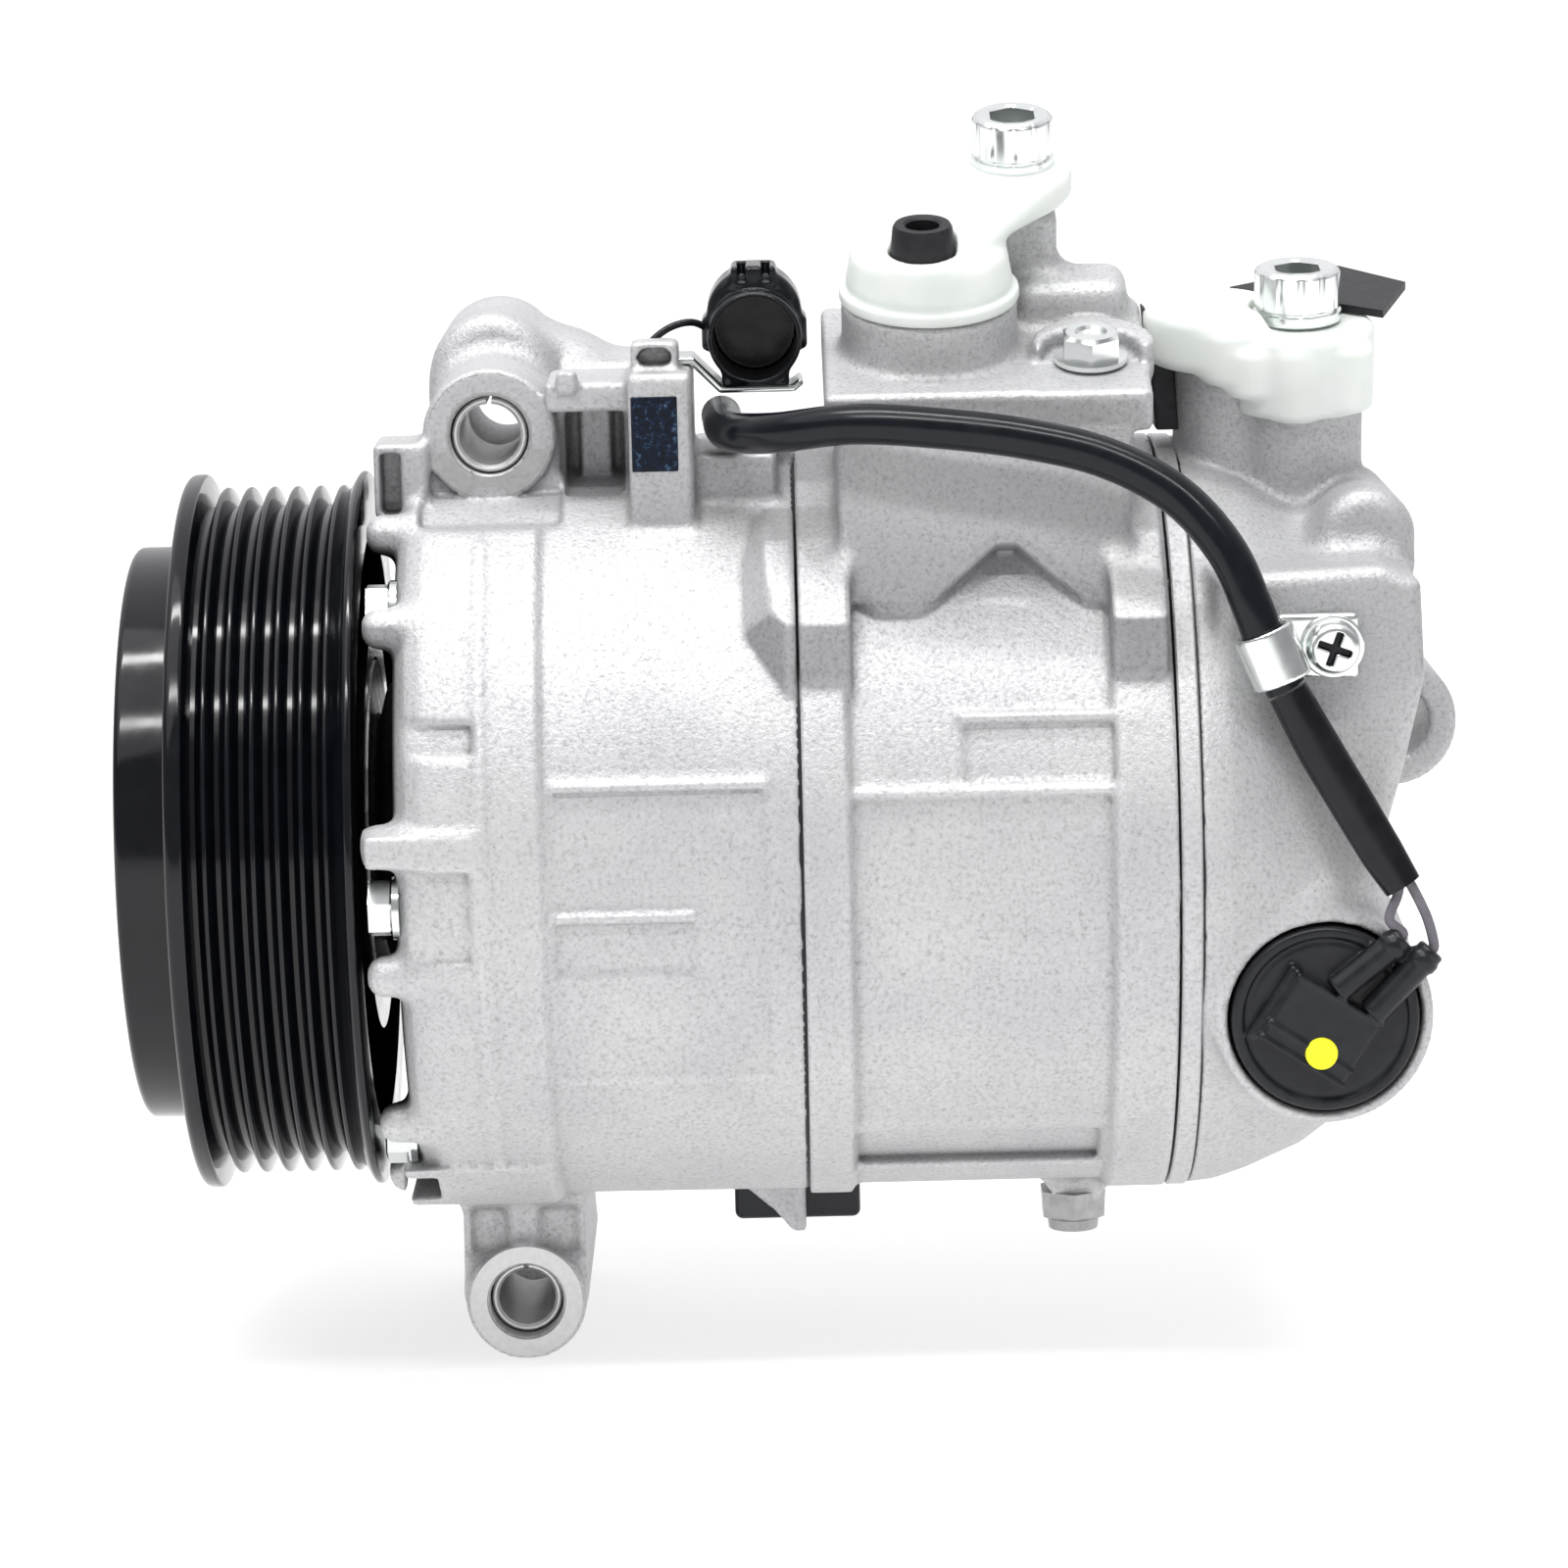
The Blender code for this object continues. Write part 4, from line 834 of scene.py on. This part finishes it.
def arc_points(centre, radius, first, last, count):
    steps = [math.radians(first + (last - first) * i / count) for i in range(count + 1)]
    return [(centre[0] + radius * math.cos(a), centre[1] + radius * math.sin(a)) for a in steps]


def make_pulley():
    front, rear = (1000 * corner[0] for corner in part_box("pulley"))
    rim = 55.0
    profile = [(front, 45.0), (front, 52.0)]
    profile += arc_points((front + 1.2, rim - 1.2), 1.2, 180, 90, 6)
    profile += arc_points((front + 2.2, rim - 0.6), 0.6, 90, 0, 4)
    profile.append((FIRST_RIDGE_X - RIB_PITCH / 2 - 0.35, GROOVE_R))
    for ridge in range(RIDGES):
        x = FIRST_RIDGE_X + ridge * RIB_PITCH
        profile.append((x - RIB_PITCH / 2 + 0.35, GROOVE_R))
        profile += arc_points((x, RIDGE_R - 0.45), 0.45, 160, 20, 5)
        if ridge < RIDGES - 1:
            profile.append((x + RIB_PITCH / 2 - 0.35, GROOVE_R))
    profile += [(33.0, 52.0), (34.4, 54.2)]
    profile += arc_points((rear - 0.7, rim - 0.7), 0.7, 120, 0, 5)
    profile += [(rear, 45.5), (17.0, 45.5), (17.0, 31.0), (rear, 31.0), (rear, 26.3)]
    profile += [(12.0, 26.3), (12.0, 44.0)]
    stand_in(lathe("pulley_wheel", profile, BLACK, 192, sharp=50), "rotor", "pulley")


def make_hub():
    profile = [(0.0, 40.5), (0.0, 42.6)]
    profile += arc_points((1.2, 42.8), 1.2, 180, 90, 6)
    profile += [
        (7.6, 44.0), (8.2, 43.4), (8.2, 32.0), (10.5, 30.0), (10.5, 12.0), (20.0, 12.0), (20.0, 6.4),
        (7.5, 6.4), (7.5, 24.0), (5.5, 27.0), (4.2, 31.0), (3.5, 33.0), (3.5, 38.5), (2.4, 40.0),
    ]
    stand_in(lathe("hub_disc", profile, BLACK, 160, sharp=35), "rotor", "drive_hub")
    damper = [(8.5, 32.5), (8.5, 43.0), (11.7, 43.0), (11.7, 32.5)]
    stand_in(lathe("damper_ring", damper, RUBBER, 96), "rotor", "hub_damper")


# ---- Bolts, bushes and other turned pieces -------------------------------------------------------


def upright(frame_of, across, along, height):
    """A frame whose X axis runs up a port, from a point in the port's frame."""
    return frame_of @ Matrix.Translation((across, along, height)) @ spin(-90, "Y")


def along_minus_y(x, y, z):
    """A frame at this point whose X axis runs towards the viewer's side."""
    return Matrix.Translation((x, y, z)) @ spin(-90, "Z")


def make_through_bolts():
    for index in range(CYLINDERS):
        y, z = around(BOLT_PITCH_R, bolt_angle(index))
        profile = [
            (37.6, 0.0), (37.6, 3.3), (37.9, 3.8, "hex"), (41.0, 3.8, "hex"), (41.1, 4.4), (41.4, 4.7),
            (42.4, 4.7), (42.4, 2.8), (167.2, 2.8), (167.2, 0.0),
        ]
        place = Matrix.Translation((0, y, z)) @ spin(17 * index, "X")
        bolt = lathe(f"bolt_head_{index + 1}", profile, ZINC, 48, place, 30)
        stand_in(bolt, "housing", f"through_bolt_{index + 1}")


def make_cap_bolts():
    for name, where, radius, foot in (
        ("suction_cap_bolt", upright(SUCTION, 13.2, 18.0, 99.1), 6.2, -24.6),
        ("discharge_cap_bolt", upright(DISCHARGE, 0.0, 0.0, 77.7), 6.6, -27.2),
    ):
        profile = [
            (3.2, 0.0), (3.4, 3.2, "hex"), (7.7, 3.3, "hex"), (8.0, 4.1), (8.0, radius - 1.0),
            (7.6, radius - 0.4), (7.3, radius - 0.2, "knurl"), (2.2, radius - 0.2, "knurl"),
            (2.0, radius - 0.5), (1.7, radius - 0.5), (1.5, radius), (0.2, radius), (0.0, radius - 0.2),
            (0.0, 3.9), (foot, 3.9), (foot, 0.0),
        ]
        stand_in(lathe(f"{name}_head", profile, ZINC, 72, where, 25), "housing", name)


def make_single_bolts():
    """The port block's small bolt, the hub's nose bolt and the relief valve."""
    profile = [
        (-12.0, 0.0), (-12.0, 2.5), (0.0, 2.5), (0.0, 5.4), (0.7, 5.4), (0.8, 4.0, "hex"), (3.9, 4.0, "hex"),
        (4.4, 3.7), (4.4, 2.4), (3.9, 2.0), (3.9, 0.0),
    ]
    place = upright(SUCTION, 23.5, -7.0, 77.5)
    stand_in(lathe("port_bolt_head", profile, ZINC, 48, place, 25), "housing", "port_block_bolt")
    profile = [
        (20.0, 0.0), (20.0, 3.0), (7.2, 3.0), (7.2, 10.0), (5.9, 10.0), (5.5, 9.6), (5.4, 7.0),
        (5.3, 6.0, "hex"), (0.5, 6.0, "hex"), (0.0, 5.4), (0.0, 0.0),
    ]
    stand_in(lathe("nose_bolt", profile, ZINC, 72, None, 25), "rotor", "hub_bolt")
    relief = [
        (-58.6, 0.0), (-58.6, 4.9, "hex"), (-62.6, 4.7, "hex"), (-63.2, 4.0), (-64.8, 3.8), (-64.8, 0.0),
    ]
    stand = Matrix.Translation((142.0, -5.0, 0)) @ spin(-90, "Y")
    stand_in(lathe("relief_hexagon", relief, STEEL, 48, stand, 30), "housing", "relief_valve")


def make_ear_rings():
    """The split bushes in the ears, and the turned faces round them; the upper ear's face wears a darker copy
    of the machined look as painted shade.
    """
    for name, (x, z), start, end, inner, outer in (
        ("ear_bush_top", TOP_EAR, 16.5, -11.0, 4.6, 5.6),
        ("ear_bush_low", LOW_EAR, 9.5, -17.0, 4.4, 5.4),
    ):
        profile = [
            (start, inner + 0.4), (start, outer - 0.3), (start - 0.3, outer), (end, outer), (end, inner),
            (start - 0.4, inner),
        ]
        bush = lathe(f"{name}_sleeve", profile, MACHINED, 72, along_minus_y(x, 0, z), 30, 9.0)
        stand_in(bush, "housing", name)
    for name, (x, z), face, inner, outer, stuff in (
        ("top_ear_face", TOP_EAR, 17.9, 5.95, 9.6, SHADED_EAR_FACE),
        ("low_ear_face", LOW_EAR, 11.9, 5.8, 8.9, MACHINED),
    ):
        foot, proud = face - 0.6, face + 0.05
        profile = [(foot, inner), (proud, inner + 0.3), (proud, outer - 0.2), (foot, outer)]
        stand_in(lathe(name, profile, stuff, 96, along_minus_y(x, 0, z), 30), "housing")


def make_plug():
    profile = [(0.0, 0.0), (0.0, 4.9), (5.5, 4.4), (6.0, 4.1), (6.0, 2.9), (5.7, 2.5), (2.4, 2.4), (2.4, 0.0)]
    place = upright(SUCTION, -1.0, -5.0, 92.5)
    stand_in(lathe("rubber_plug", profile, RUBBER, 64, place, 30), "housing", "suction_cap_plug")


def make_joint_rings():
    """The two gaskets, and the valve plate's edge."""
    for name, start, end, outer in (
        ("front_gasket", 100.62, 101.38, 57.0),
        ("rear_gasket", 158.5, 159.3, 57.3),
    ):
        profile = [(start, 54.8), (start, outer), (end, outer), (end, 54.8)]
        stand_in(lathe(f"{name}_ring", profile, RUBBER, 160), "housing", name)
    plate_ring = [(155.75, 0.0), (155.75, 57.6), (156.0, 57.9), (158.5, 57.9), (158.75, 57.6), (158.75, 0.0)]
    stand_in(lathe("valve_plate_disc", plate_ring, CAST, 128, None, 30), "housing", "valve_plate")


# ---- Moulded pieces -----------------------------------------------------------------------------


def make_caps():
    cap = Casting((104.0, -50.0, 74.0), (149.0, 8.0, 102.5), DETAIL_STEP)
    cap.add(post(SUCTION, 0, 0, 85.2, 87.2, 13.3, round_r=0.5), 0.4)
    cap.add(post(SUCTION, 0, 0, 86.5, 94.0, 12.7, 11.2, round_r=2.2), 0.6)
    cap.add(post(SUCTION, -1.0, -5.0, 88.0, 94.0, 7.0, round_r=1.0), 1.6)
    for share in (0.0, 0.2, 0.4, 0.6, 0.8, 1.0):
        x, y = 2.0 + share * 11.2, 3.0 + share * 15.0
        cap.add(post(SUCTION, x, y, 94.1, 95.6 + 3.4 * share, 8.9, round_r=1.6), 2.2)
    cap.add(post(SUCTION, 2.0, 3.0, 88.0, 96.0, 8.6, round_r=1.6), 2.0)
    cap.add(post(SUCTION, 13.2, 18.0, 94.1, 99.0, 7.2, round_r=0.6), 1.2)
    cap.cut(post(SUCTION, -1.0, -5.0, 92.4, 99.0, 5.0), 0.5)
    cap.cut(post(SUCTION, 13.2, 18.0, 90.0, 101.0, 4.3), 0.3)
    cap.cut(placed(brick((8.0, 11.0, 80.0), (20.5, 25.5, 94.0)), SUCTION), 0.2)
    stand_in(cap.skin("suction_cap_moulding", MILKY), "housing", "suction_port_cap")
    cap = Casting((152.5, -28.5, 58.5), (190.5, 4.5, 83.5), DETAIL_STEP)
    cap.add(post(DISCHARGE, 0, 0, 64.8, 77.4, 11.6, round_r=1.4), 1.0)
    cap.add(post(DISCHARGE, -12.6, 2.0, 71.2, 80.0, 10.3, round_r=2.0), 3.0)
    cap.add(post(DISCHARGE, -10.4, -5.2, 69.6, 78.2, 4.6, round_r=1.6), 2.0)
    for x, y, r, foot in ((-7.4, -6.8, 4.2, 68.0), (6.8, -6.8, 4.0, 65.4), (-1.0, -8.4, 3.6, 64.6)):
        cap.add(post(DISCHARGE, x, y, foot, 75.6, r, round_r=1.4), 1.2)
    cap.cut(post(DISCHARGE, 0, 0, 60.0, 70.8, 10.2), 0.2)
    cap.cut(post(DISCHARGE, -9.5, 2.0, 60.0, 70.6, 8.9), 0.2)
    cap.cut(post(DISCHARGE, 0, 0, 60.0, 84.0, 4.3), 0.2)
    cap.cut(post(DISCHARGE, 0, 0, 77.5, 86.0, 7.2), 0.5)
    cap.cut(placed(brick((4.0, 9.5, 60.0), (24.0, 20.0, 82.0)), DISCHARGE), 0.4)
    stand_in(cap.skin("discharge_cap_moulding", MILKY), "housing", "discharge_port_cap")


def make_boot():
    (x, z), face = VALVE, -56.0
    boot = Casting((x - 15.0, -60.4, z - 15.0), (x + 17.5, -46.2, z + 15.0), DETAIL_STEP)
    boot.add(crossbar(x, z, -47.3, face, 13.7, round_r=0.8), 0.4)
    boot.cut(crossbar(x, z, face + 0.5, face - 1.0, 11.9), 0.6)
    boot.add(crossbar(x, z, -50.0, face + 0.4, 11.2, round_r=0.5), 0.4)
    tilt = Matrix.Translation((x - 1.0, face, z - 1.2)) @ spin(33, "Y")
    boot.add(placed(brick((-7.2, -2.2, -5.3), (7.2, 2.0, 5.2), 0.7), tilt), 0.8)
    for edge in (-5.6, -3.2, 4.9):
        boot.add(placed(brick((-7.4, -2.5, edge), (7.4, 0.0, edge + 0.7), 0.25), tilt), 0.3)
    boot.add(placed(brick((-8.6, -1.4, -6.6), (-6.8, 0.5, 6.0), 0.5), tilt), 0.5)
    for start, end in (
        ((177.9, -57.4, -16.9), (187.6, -57.4, -9.3)),
        ((183.0, -57.4, -20.6), (191.8, -57.4, -11.2)),
    ):
        boot.add(rod(start, end, 2.1, round_r=0.4), 0.7)
        way = Vector(end) - Vector(start)
        collar = Vector(end) - 0.22 * way
        boot.add(rod(tuple(collar), tuple(collar + 0.12 * way), 2.4, round_r=0.3), 0.3)
    stand_in(boot.skin("boot_moulding", PLASTIC), "housing", "valve_boot")
    dot = [(58.15, 0.0), (58.15, 2.4), (58.5, 2.3), (58.55, 0.0)]
    stand_in(lathe("paint_dot", dot, YELLOW, 48, along_minus_y(x - 0.9, 0, z - 4.6)), "housing")


def make_connector():
    shell = Casting((86.6, -23.6, 67.6), (105.0, 0.0, 87.6), DETAIL_STEP)
    x, z = 95.8, 76.2
    shell.add(crossbar(x, z, -22.0, -4.0, 7.0, round_r=0.8), 0.4)
    shell.add(brick((90.8, -21.4, 68.9), (100.8, -3.0, 72.5), 0.6), 0.6)
    shell.add(crossbar(x, 79.2, -17.5, -4.0, 7.1, round_r=1.4), 0.8)
    shell.add(brick((92.4, -17.9, 83.0), (99.2, -6.0, 86.6), 0.8), 0.6)
    shell.add(brick((87.9, -17.0, 74.0), (103.6, -8.0, 79.0), 0.8), 0.8)
    for start, end in ((93.4, 94.6), (97.0, 98.2)):
        shell.cut(brick((start, -19.5, 84.4), (end, -8.0, 88.0)), 0.3)
    shell.cut(crossbar(x, z, -24.0, -4.5, 6.2), 0.3)
    stand_in(shell.skin("connector_moulding", SHELL), "housing", "connector_shell")
    strip = [
        (78.8, 72.2), (86.0, 72.2), (90.4, 67.8), (101.6, 67.8), (103.0, 69.0), (102.4, 69.8), (101.2, 68.9),
        (90.9, 68.9), (86.5, 73.3), (78.8, 73.3),
    ]
    bracket = Casting((77.6, -19.4, 66.6), (104.2, -6.8, 74.4), DETAIL_STEP)
    bracket.add(plate(strip, -18.2, -8.0, 0.15), 0.2)
    stand_in(bracket.skin("bracket_strip", ZINC), "housing", "connector_bracket")
    clip = [
        (89.4, -16.0, 77.0), (86.6, -17.4, 78.4), (83.4, -18.6, 77.9), (80.6, -19.4, 76.0),
        (79.2, -19.6, 73.6),
    ]
    stand_in(sweep("clip_wire", clip, [(0.55, 0.55)] * len(clip), SHELL, 12), "housing")


def make_clamp():
    """The band round the cable's end, and its screw, whose head holds a dark cross of painted shade in its
    recess.
    """
    cable_end = Vector(CABLE_ROUTE[-1])
    run = (cable_end - Vector(CABLE_ROUTE[-3])).normalized()
    start, end = cable_end - 9.0 * run, cable_end - 1.0 * run
    x, z = CLAMP_SCREW
    clamp = Casting((160.5, -60.0, 24.0), (184.5, -46.5, 42.0), DETAIL_STEP)
    clamp.add(rod(tuple(start), tuple(end), 4.4, round_r=0.3), 0.2)
    clamp.add(brick((170.3, -50.4, 27.6), (182.2, -48.6, 37.2), 0.8), 0.8)
    clamp.cut(rod(tuple(start - 3 * run), tuple(end + 3 * run), 3.5), 0.2)
    clamp.cut(crossbar(x, z, -52.0, -47.0, 2.5), 0.2)
    stand_in(clamp.skin("clamp_strip", ZINC), "housing", "cable_clamp")
    screw = Casting((x - 5.6, -55.4, z - 5.6), (x + 5.6, -36.2, z + 5.6), SCREW_STEP)
    screw.add(crossbar(x, z, -50.5, -51.4, 4.6, round_r=0.15), 0.1)
    screw.add(crossbar(x, z, -51.2, -54.3, 4.05, 3.5, round_r=0.9), 0.1)
    screw.add(crossbar(x, z, -37.0, -51.0, 2.0), 0.1)
    turn = Matrix.Translation((x, -54.0, z)) @ spin(20, "Y")
    for wide, tall in ((2.5, 0.5), (0.5, 2.5)):
        screw.cut(placed(brick((-wide, -2.0, -tall), (wide, 2.2, tall)), turn), 0.2)
    stand_in(screw.skin("screw_head", ZINC), "housing", "clamp_screw")
    # Painted shade: a near-black cross set in the screw head's recess.
    cross = Casting((x - 3.2, -54.2, z - 3.2), (x + 3.2, -51.4, z + 3.2), SCREW_STEP)
    for wide, tall in ((2.45, 0.45), (0.45, 2.45)):
        cross.add(placed(brick((-wide, 0.9, -tall), (wide, 2.3, tall)), turn), 0.1)
    stand_in(cross.skin("screw_recess_shade", PAINTED_SHADE), "housing")


# ---- The loom -----------------------------------------------------------------------------------


def smooth_line(knots, per_gap):
    """Points of a Catmull-Rom curve through the knots."""
    knots = [Vector(k) for k in knots]
    padded = [2 * knots[0] - knots[1], *knots, 2 * knots[-1] - knots[-2]]
    line = []
    for a, b, c, d in zip(padded, padded[1:], padded[2:], padded[3:]):
        for step in range(per_gap):
            t = step / per_gap
            square = 2 * a - 5 * b + 4 * c - d
            cube = 3 * b - a - 3 * c + d
            line.append(b + 0.5 * ((c - a) * t + square * t**2 + cube * t**3))
    return [*line, knots[-1]]


def sweep(name, route, widths, stuff, sides=24, per_gap=10):
    """A tube along a curve. widths holds, for each of the route's points, half its width and its depth."""
    line = smooth_line(route, per_gap)
    shape = bmesh.new()
    rows = []
    for i, point in enumerate(line):
        way = (line[min(i + 1, len(line) - 1)] - line[max(i - 1, 0)]).normalized()
        across = way.cross(Vector((0, 1, 0))).normalized()
        deep = across.cross(way).normalized()
        spot = min(i / per_gap, len(route) - 1.001)
        first, part = int(spot), spot - int(spot)
        wide, thick = (a + (b - a) * part for a, b in zip(widths[first], widths[first + 1]))
        row = []
        for k in range(sides):
            a = 2 * math.pi * k / sides
            corner = point + across * wide * math.cos(a) + deep * thick * math.sin(a)
            row.append(shape.verts.new(corner * MM))
        rows.append(row)
    for a, b in zip(rows, rows[1:]):
        for k in range(sides):
            shape.faces.new([a[k], a[(k + 1) % sides], b[(k + 1) % sides], b[k]])
    shape.faces.new(rows[0])
    shape.faces.new(rows[-1])
    bmesh.ops.recalc_face_normals(shape, faces=shape.faces)
    return finish_mesh(name, shape, stuff, None, 50)


CABLE_ROUTE = [
    (90.5, -15.0, 64.2), (91.8, -28.0, 63.2), (98.5, -39.0, 64.0), (109.7, -44.5, 65.6),
    (122.4, -46.5, 64.9), (135.0, -47.0, 63.1), (146.3, -47.5, 60.1), (156.0, -49.2, 54.8),
    (162.8, -52.0, 47.2), (166.5, -54.0, 38.9), (169.0, -54.3, 31.4), (171.2, -54.3, 27.1),
]
SLEEVE_ROUTE = [
    (171.5, -54.3, 26.5), (175.7, -55.2, 18.5), (180.5, -56.1, 10.2), (184.6, -56.7, 3.1),
    (187.6, -57.1, -1.8),
]
# Each wire's three middle points are the CAD's. The first lies in the sleeve, the last in the boot's tube.
WIRE_A_ROUTE = [
    (187.2, -57.1, -0.6), (186.8, -57.1, -3.2), (185.6, -57.4, -6.6), (187.5, -57.6, -8.6),
    (187.0, -57.4, -9.9),
]
WIRE_B_ROUTE = [
    (188.0, -57.1, -0.6), (189.0, -57.1, -2.1), (191.0, -57.5, -6.4), (192.0, -57.6, -10.4),
    (191.6, -57.4, -11.6),
]


def make_loom():
    cable = sweep("cable_run", CABLE_ROUTE, [(3.0, 3.0)] * len(CABLE_ROUTE), CABLE)
    stand_in(cable, "housing", "harness_cable")
    widths = [(3.0, 2.7), (3.3, 2.4), (3.3, 2.2), (3.2, 2.2), (2.8, 2.2)]
    stand_in(sweep("sleeve_run", SLEEVE_ROUTE, widths, VINYL), "housing", "harness_sleeve")
    for letter, route in (("a", WIRE_A_ROUTE), ("b", WIRE_B_ROUTE)):
        run = sweep(f"wire_{letter}_run", route, [(0.75, 0.75)] * len(route), WIRE, 12)
        stand_in(run, "housing", f"harness_wire_{letter}")


def make_paint():
    """The sealing paint on the shoulder block."""
    paint = Casting((76.0, -31.0, 56.0), (86.0, -28.5, 70.0), DETAIL_STEP)
    paint.add(brick((77.3, -29.95, 57.6), (84.2, -29.4, 68.8), 0.2), 0.2)
    stand_in(paint.skin("sealing_paint", BLUE), "housing")


def make_pad_and_gap_shadow():
    """The black pad under the front joint, and a dark plate of painted shadow in the gap between the two
    ports.
    """
    pad = Casting((88.0, -5.0, -65.5), (110.5, 8.0, -55.0), DETAIL_STEP)
    pad.add(brick((89.4, -1.5, -63.6), (109.0, 6.0, -56.5), 1.2), 0.4)
    stand_in(pad.skin("joint_pad", PLASTIC), "housing")
    # Painted shadow: a near-black plate filling the gap between the ports.
    gap_shadow = Casting((152.4, -14.0, 58.0), (162.0, 1.0, 81.0), DETAIL_STEP)
    gap_shadow.add(plate([(154.2, 78.6), (158.4, 74.0), (159.4, 60.0), (155.8, 60.0)], -12.0, -2.0, 0.5), 0.4)
    stand_in(gap_shadow.skin("port_gap_shadow", PAINTED_SHADE), "housing")


make_camera()
make_world()
make_floor()
make_lights()
make_front()
make_block()
make_rear()
make_pulley()
make_hub()
make_through_bolts()
make_cap_bolts()
make_single_bolts()
make_ear_rings()
make_plug()
make_joint_rings()
make_caps()
make_boot()
make_connector()
make_clamp()
make_loom()
make_paint()
make_pad_and_gap_shadow()

LOOKS = {
    "cast_aluminium": CAST, "bright_steel": ZINC, "ground_steel": STEEL, "piston_alloy": PISTON,
    "black_gloss": BLACK, "rubber": RUBBER, "black_plastic": PLASTIC, "cap_plastic": MILKY, "grey_wire": WIRE,
}
for part in frame["record"]["subparts"]:
    shown = frame["nodes"][part["node"]]
    for place in shown.material_slots:
        place.material = LOOKS[part["material_slot"]]
